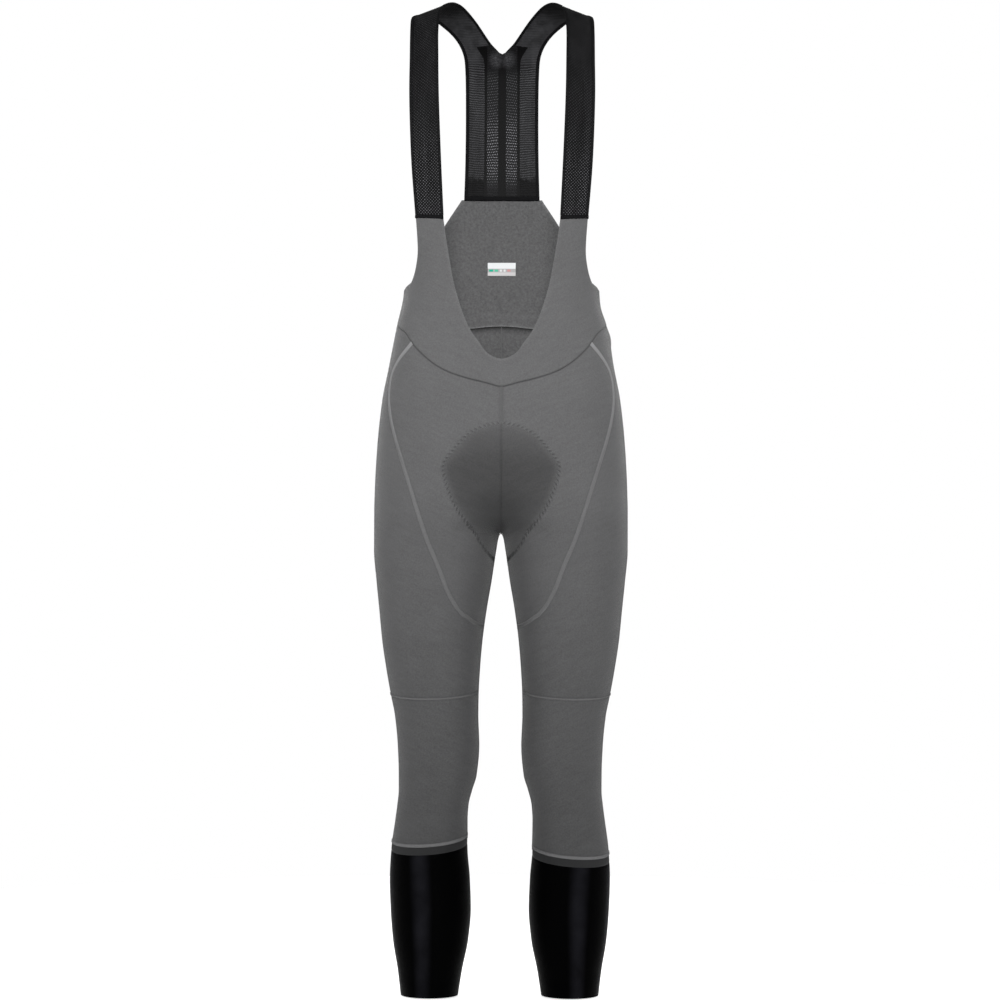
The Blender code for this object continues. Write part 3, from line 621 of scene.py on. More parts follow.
def make_piece(name, sheets, finishes, replaced=(), wall=0.0, caps=False):
    """A piece of some sheets, with its outer finish first, in the place of its CAD nodes."""
    materials = [finish_of(finish) for finish in finishes]
    piece = piece_from(name, joined_mesh(name, sheets, caps), materials, wall)
    hand_over(piece, replaced)


# Paths that tapes and stitches follow


Path = namedtuple("Path", "points along out side")


def path_from(points, out):
    along = unit(np.gradient(points, axis=0))
    out = unit(out - along * np.sum(out * along, axis=-1, keepdims=True))
    return Path(points, along, out, np.cross(out, along))


def body_path(line, side, step, lift=0.0, shift=0.0):
    """A path along a line of spots on one side of the body, moved out by lift and sideways by shift."""
    length = reach_along(skin(line))[-1]
    spots = sample(line, np.linspace(0, 1, max(3, round(length / step)) + 1))
    out = body_normal(spots) * ((-1, 1, 1) if side == "right" else (1, 1, 1))
    path = path_from(laid(spots, side, lift), out)
    return path._replace(points=path.points + path.side * shift)


def closed_ring(edge, side, step, lift=0.0):
    """A path all round the leg, whose last point is its first."""
    spots = ring(*edge, np.linspace(0, 1, round(0.4 / step) + 1))
    out = body_normal(spots) * ((-1, 1, 1) if side == "right" else (1, 1, 1))
    points = laid(spots, side, lift)
    along = unit(np.roll(points, -1, axis=0) - np.roll(points, 1, axis=0))
    along[0] = along[-1] = unit(points[1] - points[-2])
    out[0] = out[-1] = unit(out[1] + out[-2])
    out = unit(out - along * np.sum(out * along, axis=-1, keepdims=True))
    return Path(points, along, out, np.cross(out, along))


def swept(path, profile):
    """A sheet that carries a closed profile of (sideways, outwards) points along a path."""
    profile = np.asarray([*profile, profile[0]], float)
    points = (
        path.points[:, None]
        + path.side[:, None] * profile[None, :, :1]
        + path.out[:, None] * profile[None, :, 1:]
    )
    length = np.broadcast_to(reach_along(path.points)[:, None], points.shape[:2])
    girth = np.broadcast_to(reach_along(np.pad(profile, ((0, 0), (0, 1))))[None], points.shape[:2])
    return Sheet(points, np.stack([girth, length], -1), {}, False)


def flat_profile(width, height, sunk=0.0003, count=7):
    """A low rounded tape that lies on the cloth."""
    across = np.linspace(-1, 1, count)
    top = [(x * width / 2, height * (1 - abs(x) ** 4) ** 0.5) for x in across]
    return [*top, (width / 2, -sunk), (-width / 2, -sunk)]


# Shader maths


class Value:
    """One number in a node tree, on which Python's operators add Math nodes."""

    def __init__(self, nodes, socket):
        self.nodes, self.socket = nodes, socket

    def math(self, operation, *others):
        made = self.nodes.node("ShaderNodeMath", {"operation": operation}, [self, *others])
        return Value(self.nodes, made.outputs[0])

    def __add__(self, other):
        return self.math("ADD", other)

    def __sub__(self, other):
        return self.math("SUBTRACT", other)

    def __rsub__(self, other):
        return (self * -1) + other

    def __mul__(self, other):
        return self.math("MULTIPLY", other)

    def __truediv__(self, other):
        return self.math("DIVIDE", other)

    def __pow__(self, other):
        return self.math("POWER", other)

    def __mod__(self, other):
        return self.math("FLOORED_MODULO", other)

    def __abs__(self):
        return self.math("ABSOLUTE")

    __radd__ = __add__
    __rmul__ = __mul__

    def sin(self):
        return self.math("SINE")

    def fract(self):
        return self.math("FRACT")

    def floor(self):
        return self.math("FLOOR")

    def most(self, other):
        return self.math("MAXIMUM", other)

    def wave(self):
        """A triangle wave from 0 up to 1 and back for each whole step of this number."""
        return 1 - abs(self.fract() * 2 - 1)

    def rise(self, low, high):
        """0 below low, 1 above high, and a smooth rise between them."""
        settings = {"interpolation_type": "SMOOTHSTEP"}
        sockets = {"Value": self, "From Min": low, "From Max": high}
        return Value(self.nodes, self.nodes.node("ShaderNodeMapRange", settings, sockets).outputs[0])


class Nodes:
    """A node tree that is built from Python."""

    def node(self, kind, settings=None, sockets=None):
        """A node with its settings, and with values or links in its sockets."""
        made = self.tree.nodes.new(kind)
        for setting, value in (settings or {}).items():
            if setting == "stops":
                self.set_stops(made, value)
            else:
                setattr(made, setting, value)
        pairs = sockets.items() if isinstance(sockets, dict) else enumerate(sockets or [])
        for socket, value in pairs:
            self.set_socket(made.inputs[socket], value)
        return made

    def set_stops(self, made, stops):
        ramp = made.color_ramp
        for k, (place, colour) in enumerate(stops):
            stop = ramp.elements[k] if k < len(ramp.elements) else ramp.elements.new(place)
            stop.position = place
            stop.color = (*colour, 1)

    def set_socket(self, socket, value):
        if isinstance(value, Value):
            value = value.socket
        if isinstance(value, bpy.types.NodeSocket):
            self.tree.links.new(value, socket)
        elif socket.type == "RGBA" and len(value) == 3:
            socket.default_value = (*value, 1)
        else:
            socket.default_value = value


class Finish(Nodes):
    """A material and its nodes."""

    def __init__(self, name, roughness=0.7, **fixed):
        self.material = bpy.data.materials.new(name)
        self.material.use_nodes = True
        self.tree = self.material.node_tree
        self.shader = self.tree.nodes["Principled BSDF"]
        self.shader.inputs["Roughness"].default_value = roughness
        self.shader.inputs["Specular IOR Level"].default_value = 0.10
        for socket, value in fixed.items():
            self.shader.inputs[socket.replace("_", " ")].default_value = value

    def uv(self):
        """The place on the cloth: metres across it and along it."""
        place = self.node("ShaderNodeUVMap", {"uv_map": "cloth"}).outputs[0]
        parts = self.node("ShaderNodeSeparateXYZ", None, [place]).outputs
        return Value(self, parts[0]), Value(self, parts[1])

    def place(self):
        """The place on the garment: x, y and z in metres."""
        where = self.node("ShaderNodeTexCoord").outputs["Object"]
        parts = self.node("ShaderNodeSeparateXYZ", None, [where]).outputs
        return [Value(self, part) for part in parts]

    def mark(self, name):
        """A number that the piece's own mesh carries."""
        made = self.node("ShaderNodeAttribute", {"attribute_name": name})
        return Value(self, made.outputs["Fac"])

    def noise(self, size, detail=2.0, roughness=0.5, stretch=(1, 1, 1)):
        """Noise about 0, with blotches of a size in metres. A stretch squeezes them along an axis."""
        where = self.node("ShaderNodeTexCoord").outputs["Object"]
        if stretch != (1, 1, 1):
            settings = {"operation": "MULTIPLY"}
            where = self.node("ShaderNodeVectorMath", settings, [where, stretch]).outputs[0]
        sockets = {"Vector": where, "Scale": 1 / size, "Detail": detail, "Roughness": roughness}
        return Value(self, self.node("ShaderNodeTexNoise", None, sockets).outputs[0]) - 0.5

    def noise_at(self, parts, detail=2.0, roughness=0.5):
        """Noise about 0 at a place given by three numbers, with blotches about 1 wide."""
        where = self.node("ShaderNodeCombineXYZ", None, parts).outputs[0]
        sockets = {"Vector": where, "Scale": 1.0, "Detail": detail, "Roughness": roughness}
        return Value(self, self.node("ShaderNodeTexNoise", None, sockets).outputs[0]) - 0.5

    def mix(self, factor, first, second):
        """A colour between two others."""
        made = self.node("ShaderNodeMix", {"data_type": "RGBA"})
        self.set_socket(made.inputs[0], factor)
        self.set_socket(made.inputs[6], first)
        self.set_socket(made.inputs[7], second)
        return made.outputs[2]

    def shade(self, colour, brightness):
        """A colour made lighter or darker by a number about 1."""
        grey = self.node("ShaderNodeCombineXYZ", None, [brightness, brightness, brightness]).outputs[0]
        made = self.node("ShaderNodeVectorMath", {"operation": "MULTIPLY"})
        self.set_socket(made.inputs[0], colour)
        self.set_socket(made.inputs[1], grey)
        return made.outputs[0]

    def set(self, socket, value):
        self.set_socket(self.shader.inputs[socket], value)

    def done(self, colour, bright, height=None, distance=0.0, strength=1.0):
        """The material, of a colour made lighter or darker, with fine relief of a height."""
        if not isinstance(colour, bpy.types.NodeSocket):
            colour = tuple(colour)
        self.set("Base Color", self.shade(colour, bright))
        if height is not None:
            sockets = {"Height": height, "Distance": distance, "Strength": strength}
            self.set("Normal", self.node("ShaderNodeBump", None, sockets).outputs[0])
        return self.material


# Geometry Nodes


class Repeat(Nodes):
    """A Geometry Nodes tree with named inputs, which turns paths into sewn detail."""

    def __init__(self, name, inputs):
        self.tree = bpy.data.node_groups.new(name, "GeometryNodeTree")
        self.tree.interface.new_socket("Paths", in_out="INPUT", socket_type="NodeSocketGeometry")
        self.tree.interface.new_socket("Detail", in_out="OUTPUT", socket_type="NodeSocketGeometry")
        for label, default in inputs.items():
            kind = "NodeSocketMaterial" if default is None else "NodeSocketFloat"
            socket = self.tree.interface.new_socket(label, in_out="INPUT", socket_type=kind)
            if default is not None:
                socket.default_value = default
        self.inputs = self.node("NodeGroupInput").outputs

    def named(self, attribute):
        """A direction that the paths carry."""
        made = self.node("GeometryNodeInputNamedAttribute", {"data_type": "FLOAT_VECTOR"}, [attribute])
        return made.outputs[0]

    def spaced(self, pitch):
        """The paths as curves, with a point at each step of the pitch."""
        curves = self.node("GeometryNodeMeshToCurve", None, [self.inputs["Paths"]])
        sockets = {"Curve": curves.outputs[0], "Length": pitch}
        return self.node("GeometryNodeResampleCurve", {"mode": "LENGTH"}, sockets).outputs[0]

    def end(self, geometry):
        real = self.node("GeometryNodeRealizeInstances", None, [geometry]).outputs[0]
        sockets = {"Geometry": real, "Material": self.inputs["Finish"]}
        finished = self.node("GeometryNodeSetMaterial", None, sockets).outputs[0]
        self.node("NodeGroupOutput", None, [finished])
        return self.tree


def stitch_tree():
    """Short stitches at a pitch along the paths, each turned from its path by an angle."""
    inputs = {"Pitch": 0.0016, "Length": 0.004, "Thickness": 0.0005, "Turn": 0.0, "Finish": None}
    repeat = Repeat("stitches", inputs)
    given = repeat.inputs
    points = repeat.spaced(given["Pitch"])
    ball = repeat.node("GeometryNodeMeshUVSphere", None, {"Segments": 6, "Rings": 4, "Radius": 0.5})
    size = [given["Length"], given["Thickness"], given["Thickness"]]
    size = repeat.node("ShaderNodeCombineXYZ", None, size).outputs[0]
    turn = repeat.node("ShaderNodeCombineXYZ", None, [0.0, 0.0, given["Turn"]]).outputs[0]
    turn = repeat.node("FunctionNodeEulerToRotation", None, [turn]).outputs[0]
    sockets = {"Geometry": ball.outputs[0], "Scale": size}
    stitch = repeat.node("GeometryNodeTransform", None, sockets).outputs[0]
    sockets = {"Geometry": stitch, "Rotation": turn}
    stitch = repeat.node("GeometryNodeTransform", None, sockets).outputs[0]
    tangent = repeat.node("GeometryNodeInputTangent").outputs[0]
    facing = repeat.node("FunctionNodeAlignRotationToVector", {"axis": "X"}, {"Vector": tangent})
    sockets = {"Rotation": facing.outputs[0], "Vector": repeat.named("out")}
    settings = {"axis": "Z", "pivot_axis": "X"}
    facing = repeat.node("FunctionNodeAlignRotationToVector", settings, sockets)
    sockets = {"Points": points, "Instance": stitch, "Rotation": facing.outputs[0]}
    return repeat.end(repeat.node("GeometryNodeInstanceOnPoints", None, sockets).outputs[0])


def zigzag_tree():
    """A thread that crosses its path from side to side at each half of the pitch."""
    repeat = Repeat("zigzag", {"Pitch": 0.006, "Width": 0.005, "Thickness": 0.0007, "Finish": None})
    given = repeat.inputs
    half = Value(repeat, given["Pitch"]) * 0.5
    points = repeat.spaced(half)
    index = Value(repeat, repeat.node("GeometryNodeInputIndex").outputs[0])
    swing = (1 - (index % 2) * 2) * Value(repeat, given["Width"]) * 0.5
    settings = {"operation": "SCALE"}
    offset = repeat.node("ShaderNodeVectorMath", settings, {0: repeat.named("side"), "Scale": swing})
    moved = repeat.node("GeometryNodeSetPosition", None, {"Geometry": points, "Offset": offset.outputs[0]})
    radius = Value(repeat, given["Thickness"]) * 0.5
    circle = repeat.node("GeometryNodeCurvePrimitiveCircle", None, {"Resolution": 6, "Radius": radius})
    sockets = {0: moved.outputs[0], "Profile Curve": circle.outputs[0], "Fill Caps": True}
    return repeat.end(repeat.node("GeometryNodeCurveToMesh", None, sockets).outputs[0])


def sewn_on(name, tree, paths, finish, **sizes):
    """A piece that a tree makes along some paths."""
    mesh = bpy.data.meshes.new(name)
    points = np.vstack([path.points for path in paths])
    edges, start = [], 0
    for path in paths:
        count = len(path.points)
        edges += [(start + k, start + k + 1) for k in range(count - 1)]
        start += count
    mesh.from_pydata(points.tolist(), edges, [])
    for direction in ("out", "side"):
        values = np.vstack([getattr(path, direction) for path in paths]).astype(np.float32)
        attribute = mesh.attributes.new(direction, "FLOAT_VECTOR", "POINT")
        attribute.data.foreach_set("vector", values.ravel())
    piece = in_scene(name, mesh)
    modifier = piece.modifiers.new("sewing", "NODES")
    modifier.node_group = tree
    for item in tree.interface.items_tree:
        if item.item_type == "SOCKET" and item.in_out == "INPUT" and item.name in sizes:
            modifier[item.identifier] = sizes[item.name]
        elif item.name == "Finish":
            modifier[item.identifier] = finish
    plain_mesh(piece)
    piece.data.shade_smooth()
    return piece


# The user's sizes and colours


def length_of(name, description, default, low=0.0001, high=0.02):
    limits = {"min": low, "max": high}
    return FloatProperty(name=name, description=description, default=default, unit="LENGTH", **limits)


def colour_of(name, description, default):
    return FloatVectorProperty(
        name=name, description=description, default=default, size=3, min=0, max=1, subtype="COLOR"
    )


class TightsSewing(bpy.types.PropertyGroup):
    """Thickness of the cloth and sizes of the sewing."""

    knit_wall: length_of("Knit thickness", "Thickness of the grey knit", 0.0011, 0.0004, 0.003)
    cuff_wall: length_of("Cuff thickness", "Thickness of the cuffs and their bands", 0.0011, 0.0004, 0.003)
    mesh_wall: length_of("Mesh thickness", "Thickness of the strap mesh", 0.0009, 0.0004, 0.003)
    cell: length_of("Grid", "Size of the cloth's mesh cells", 0.0045, 0.003, 0.02)
    flatlock_width: length_of("Flatlock width", "Width of the leg seams' flat ridge", 0.0056)
    flatlock_height: length_of("Flatlock height", "Height of the leg seams' flat ridge", 0.0006)
    stitch_pitch: length_of("Stitch pitch", "Spacing of the stitches along a seam", 0.0017)
    stitch_thickness: length_of("Stitch thickness", "Thickness of a stitch", 0.00042)
    zigzag_pitch: length_of("Zigzag pitch", "Length of one zigzag of the pad's outline", 0.0062)
    zigzag_width: length_of("Zigzag width", "Width of the pad's zigzag outline", 0.0052)
    piping_width: length_of("Piping width", "Width of the light piping above the cuffs", 0.0046)
    binding_width: length_of("Binding width", "Width of the binding on the strap edges", 0.0048)


class TightsColours(bpy.types.PropertyGroup):
    """Colours of the cloth, thread and label."""

    knit: colour_of("Knit", "Colour of the grey knit", (0.0505, 0.0505, 0.0513))
    band: colour_of("Band", "Colour of the bands above the cuffs", (0.0170, 0.0172, 0.0178))
    cuff: colour_of("Cuff", "Colour of the cuffs", (0.0004, 0.0004, 0.0005))
    mesh: colour_of("Mesh", "Colour of the strap mesh", (0.0045, 0.0045, 0.0048))
    tape: colour_of("Tape", "Colour of the tapes and bindings", (0.0022, 0.0022, 0.0025))
    thread: colour_of("Thread", "Colour of the grey thread", (0.096, 0.095, 0.095))
    foam: colour_of("Pad", "Colour of the seat pad", (0.024, 0.024, 0.025))
    label: colour_of("Label", "Colour of the woven label", (0.36, 0.37, 0.375))


class TightsStudio(bpy.types.PropertyGroup):
    """Light and view."""

    key: FloatProperty(name="Key light", description="Power of the upper front light", default=4.9)
    fill: FloatProperty(name="Fill light", description="Power of the lower front light", default=4.5)
    sides: FloatProperty(name="Side lights", description="Power of the light on each side", default=4.2)
    behind: FloatProperty(name="Back light", description="Power of the light behind", default=8.0)
    size: FloatProperty(name="Light size", description="Light width", default=0.9, unit="LENGTH")
    surround: FloatProperty(name="Surround", description="Light of the studio's walls", default=0.35)
    floor: FloatProperty(name="Floor light", description="Glow of the pale floor", default=0.7)
    lens: FloatProperty(name="Lens", description="Focal length", default=130.15, unit="CAMERA")
    distance: FloatProperty(name="Distance", description="To the object", default=5.0, unit="LENGTH")
    height: FloatProperty(name="Height", description="Camera height", default=-0.6804, unit="LENGTH")
    aside: FloatProperty(name="Aside", description="Camera shift", default=-0.0014, unit="LENGTH")
    roll: FloatProperty(name="Roll", description="Lean", default=math.radians(-0.17), unit="ROTATION")


def sewing():
    return bpy.context.scene.tights_sewing


def colours():
    return bpy.context.scene.tights_colours


def studio():
    return bpy.context.scene.tights_studio


# Finishes


LOOP_WIDTH, LOOP_HEIGHT = 0.00055, 0.0004
PAD_STITCH_WIDTH = 0.0036
MESH_PITCH = (0.0044, 0.0048)
RIB_PITCH = 0.0033
LADDER_PITCH = 0.00423
LADDER_DOT = 0.0025


def knit_finish():
    """Fine warp knit: columns of tiny loops, a heathered grey, darker over the sewn-in pad, with painted
    shade along the seams and down the pad, painted highlights on folded edges, and painted shadows beside
    the pad's zigzag.
    """
    finish = Finish("grey_knit", roughness=0.72, Sheen_Weight=0.10, Sheen_Roughness=0.35)
    across, along = finish.uv()
    loops = (across / LOOP_WIDTH).wave() * (0.35 + 0.65 * ((along / LOOP_HEIGHT).wave()))
    heather = finish.noise(0.0020, 2, 0.7)
    x, y, z = finish.place()
    drawn = [(abs(x) + z * 0.45) / 0.030, (z - abs(x) * 0.45) / 0.0050, y / 0.030]
    streaks = finish.noise_at(drawn, 3, 0.6)
    bright = 1 + heather * 0.70 + streaks * 0.28 + finish.noise(0.05, 2) * 0.16
    # The pad mark is partly the pad's own darker tone through the cloth and partly painted shade; the seam
    # mark is painted shade along the seams, and the edge mark a painted highlight on folded edges.
    bright = bright * (1 - finish.mark("pad") * 0.50) * (1 - finish.mark("seam"))
    bright = bright * (1 + finish.mark("edge") * 0.12)
    inward = finish.mark("pad_edge") - 1
    on_edge = (1 - abs(inward) * (PAD_MARK_REACH / PAD_STITCH_WIDTH)).most(0)
    dash = (finish.mark("pad_along") / sewing().zigzag_pitch + inward * 2.2).fract()
    thread = dash.rise(0.0, 0.25) * (1 - dash.rise(0.35, 0.6))
    shadow = dash.rise(0.5, 0.7) * (1 - dash.rise(0.85, 1.0))
    bright = bright * (1 + on_edge * (thread * 0.16 - shadow * 0.37))
    finish.set("Roughness", 0.72 + heather * 0.15)
    raised = loops + heather * 0.6 + on_edge * (thread - shadow) * 3
    return finish.done(colours().knit, bright, raised, 0.00012, 0.8)


def brushed_finish():
    """The knit's soft inner side, with a short speckled nap, a painted shadow under the bib back's hem and
    a painted highlight along its edges.
    """
    finish = Finish("grey_knit_inside", roughness=0.9, Sheen_Weight=0.15, Sheen_Roughness=0.5)
    speckle = finish.noise(0.0032, 3, 0.7)
    fine = finish.noise(0.0009, 2)
    bright = 0.90 + speckle * 1.15 + fine * 0.35
    # Painted shadow under the bib back's hem, and painted highlight on its folded edges.
    bright = bright * (1 - finish.mark("lap") * 0.72) * (1 + finish.mark("edge") * 0.6)
    return finish.done(colours().knit, bright, speckle + fine, 0.0006, 0.6)


def seam_finish(name, colour, high=0.0):
    """The overlocked ridge of a flat seam, crossed by fine threads. High makes its top end lighter."""
    finish = Finish(name)
    across, along = finish.uv()
    z = finish.place()[2]
    threads = (along / 0.0009 + across / 0.0014).wave()
    bright = 0.8 + threads * 0.35 + finish.noise(0.004, 2) * 0.25 + z.rise(-0.64, -0.50) * high
    return finish.done(colour, bright, threads, 0.0003, 0.8)


def thread_finish(name, colour):
    finish = Finish(name, roughness=0.55)
    return finish.done(colour, 1 + finish.noise(0.0015, 2) * 0.4)


def band_finish():
    """Dark grey elastic band with fine upright ribs."""
    finish = Finish("dark_band", roughness=0.6)
    ribs = (finish.uv()[0] / 0.0011).wave()
    return finish.done(colours().band, 0.85 + ribs * 0.3, ribs + finish.noise(0.001, 2), 0.0003, 0.7)


def cuff_finish():
    """Smooth shiny stretch knit, with painted highlight streaks down the front and the outer side."""
    finish = Finish("black_cuff", roughness=0.45, Specular_IOR_Level=0.008)
    across, along = finish.uv()
    loops = (across / 0.0006).wave() * (along / 0.0005).wave()
    cloudy = finish.noise(0.03, 3)
    share = abs(across) / HALF_GIRTH
    # Painted highlights: a lighter streak down the front of each cuff and one down its outer side.
    front, outside = (share - 0.285) / 0.050, (share - 0.455) / 0.04
    front, outside = (1 - front * front).most(0), (1 - outside * outside).most(0)
    painted_highlights = (front * front * 19 + outside * outside * 15) * (0.8 + cloudy * 1.4)
    finish.set("Roughness", 0.38 + cloudy * 0.12 + finish.noise(0.0012, 2) * 0.12)
    return finish.done(colours().cuff, 1 + cloudy * 0.5 + painted_highlights, loops, 0.00015, 0.6)


def mesh_finish():
    """Strap mesh: slanted rows of small open stitches in front, painted lighter as a painted sheen, and
    fine wavy ribs behind.
    """
    finish = Finish("black_mesh", roughness=0.6, Specular_IOR_Level=0.04)
    across, along = finish.uv()
    _, y, z = finish.place()
    behind = y.rise(0.02, 0.06)
    across_step, along_step = across / MESH_PITCH[0], along / MESH_PITCH[1]
    holes = ((across_step + along_step).wave() * (across_step - along_step).wave()).rise(0.30, 0.75)
    wavy = z / RIB_PITCH + finish.noise(0.02, 2) * 1.6 + (across / 0.016).sin() * 0.5
    ribs = wavy.wave().rise(0.35, 0.95)
    low_front = (1 - z.rise(-0.27, -0.14)) * (1 - behind)
    plain = z.rise(-0.075, -0.05) * behind
    ragged = (z + finish.noise(0.006, 2) * 0.02).rise(-0.232, -0.222)
    # The open stitches are painted lighter: a painted sheen on their threads.
    front = holes * (3.4 + 9.0 * low_front) + 0.1
    back = (ribs * 4.6 * (1 - plain) + 0.9 + plain * 3.0) * ragged
    bright = 0.45 + front * (1 - behind) + back * behind
    lengthwise = finish.noise(0.012, 2, 0.5, stretch=(1, 1, 0.10))
    bright = bright * (1 + finish.noise(0.03, 3) * 0.6 + lengthwise * 1.6)
    return finish.done(colours().mesh, bright, holes * (1 - behind) + ribs * behind, 0.0004, 0.6)


def ladder_finish():
    """Two strips of open ladder stitch, with closed knit between and beside them. The holes are painted
    light, and a painted highlight lies beside the bottom of the V.
    """
    finish = Finish("black_ladder", roughness=0.6, Specular_IOR_Level=0.04)
    along = finish.uv()[1]
    x, _, z = finish.place()
    inside = abs(x).rise(0.0050, 0.0062) * (1 - abs(x).rise(0.0205, 0.0218))
    wave = along / LADDER_PITCH + finish.noise(0.02, 1) * 0.8
    row = wave.floor() % 2
    in_row = wave.wave().rise(0.45, 0.75)
    dots = (x / LADDER_DOT + row * 0.5).wave().rise(0.35, 0.7)
    strength = z.rise(-0.245, -0.215) * (1 - z.rise(-0.165, -0.125) * 0.62) * (1 - z.rise(-0.09, -0.07))
    # The holes are painted light, standing in for the backdrop seen through them.
    light = in_row * dots * inside * strength
    # A painted highlight on each side of the bottom of the V.
    beside, below = (abs(x) - 0.008) / 0.014, (z + 0.060) / 0.016
    painted_v_highlight = (1 - beside * beside - below * below).most(0) * (1 + finish.noise(0.003, 2) * 1.2)
    bright = 0.35 + light * 22 + painted_v_highlight * painted_v_highlight * 4.5 + inside * 0.8
    return finish.done(colours().mesh, bright, in_row * dots * inside, 0.0006, 0.8)


def tape_finish():
    """Close black tape with fine ribs along it."""
    finish = Finish("black_tape", roughness=0.6, Specular_IOR_Level=0.04)
    across, along = finish.uv()
    ribs = (across / 0.0008).wave()
    return finish.done(colours().tape, 0.8 + ribs * 0.5, ribs + (along / 0.001).wave() * 0.5, 0.0003, 0.7)


def foam_finish():
    """Brushed pad cover with rows of small breathing holes, and painted shade in its channel."""
    finish = Finish("pad_foam", roughness=0.85, Sheen_Weight=0.15)
    across, along = finish.uv()
    holes = ((across / 0.005).wave() * (along / 0.005).wave()).rise(0.62, 0.75)
    bright = (1 - holes * 0.65) * (1 + finish.noise(0.002, 3) * 0.3) * (1 - finish.mark("seam") * 0.4)
    return finish.done(colours().foam, bright, finish.noise(0.0015, 3) - holes * 1.5, 0.0008, 0.6)


LABEL_BLOCKS = [
    (0.05, 0.20, (0.000, 0.200, 0.120)),
    (0.25, 0.37, (0.030, 0.240, 0.150)),
    (0.43, 0.51, (0.330, 0.330, 0.330)),
    (0.57, 0.64, (0.330, 0.330, 0.330)),
    (0.70, 0.82, (0.280, 0.130, 0.130)),
]


def label_finish():
    """White woven label with a row of plain colour blocks and a grey foot."""
    finish = Finish("label_white", roughness=0.6)
    x, _, z = finish.place()
    place = (x + LABEL_HALF_WIDTH) / (2 * LABEL_HALF_WIDTH)
    height = (z + LABEL_BOTTOM_DROP) / (LABEL_BOTTOM_DROP - LABEL_TOP_DROP)
    colour = finish.mix(height.rise(0.26, 0.30), (0.27, 0.265, 0.265), (0.19, 0.19, 0.19))
    colour = finish.mix(height.rise(0.54, 0.58), colour, tuple(colours().label))
    in_row = height.rise(0.31, 0.35) * (1 - height.rise(0.48, 0.52))
    for start, end, block in LABEL_BLOCKS:
        here = place.rise(start - 0.01, start + 0.01) * (1 - place.rise(end - 0.01, end + 0.01))
        colour = finish.mix(here * in_row, colour, block)
    weave = (x / 0.0005).wave() * (z / 0.0004).wave()
    return finish.done(colour, 0.93 + weave * 0.12, weave, 0.0001, 0.6)


def lighter_knit(times):
    return [part * times for part in colours().knit]


# Each finish has the slot that a piece with it fills, and the function that makes it
FINISHES = {
    "knit": ("grey_knit", knit_finish),
    "brushed": ("grey_knit", brushed_finish),
    "flatlock": ("grey_knit", lambda: seam_finish("seam_ridge", lighter_knit(1.55), 0.7)),
    "plain_seam": ("grey_knit", lambda: seam_finish("plain_seam", lighter_knit(1.0))),
    "piping": ("grey_knit", lambda: seam_finish("cuff_piping", lighter_knit(2.3))),
    "pad_thread": ("grey_knit", lambda: thread_finish("pad_thread", lighter_knit(1.15))),
    "thread": ("grey_knit", lambda: thread_finish("grey_thread", colours().thread)),
    "band": ("dark_band", band_finish),
    "cuff": ("black_cuff", cuff_finish),
    "mesh": ("black_mesh", mesh_finish),
    "ladder": ("black_mesh", ladder_finish),
    "tape": ("black_tape", tape_finish),
    "foam": ("pad_foam", foam_finish),
    "label": ("label_white", label_finish),
}
KNIT = ("knit", "brushed")
made_finishes = {}


def finish_of(name):
    """A finish, made the first time that a piece asks for it."""
    if name not in made_finishes:
        made_finishes[name] = FINISHES[name][1]()
    return made_finishes[name]


# Seam lines, as fine lines of spots


def leaf_line():
    foot = insert_foot(np.linspace(1, 0, 120))
    return np.vstack([insert_edge(), foot[1:]])


def seam_lines():
    """Every sewn line of the body."""
    around = np.linspace(0, 1, 600)
    level = waist(around)
    lapped = level - np.stack([around * 0, HEM_LAP * ease(0.5, 0.515, around)], -1)
    return {
        "leaf": leaf_line(),
        "waist": level,
        "waist_front": level[around <= 0.5],
        "lap_edge": lapped[around >= 0.5],
        "front_top": straight((0, waist(0.0)[1]), (0, PAD_FRONT[0].drop)),
        "front": straight((0, PAD_FRONT[0].drop), (0, CROTCH_DROP)),
        "inner_leg": straight((0, CROTCH_DROP), (0, KNEE_DROP)),
        "back": straight((1, waist(1.0)[1] - HEM_LAP), (1, CROTCH_DROP)),
        "side": straight((0.5, ARMHOLE_DROP), waist(0.5)),
        "knee": ring(*KNEE, around),
    }


# Pieces


def grid_lines(line, cell=None):
    return lines(reach_along(skin(line))[-1], cell or sewing().cell)


# A pad mark is 1 on the pad's outline, more inside it and less outside, for each of these metres.
PAD_MARK_REACH = 0.02


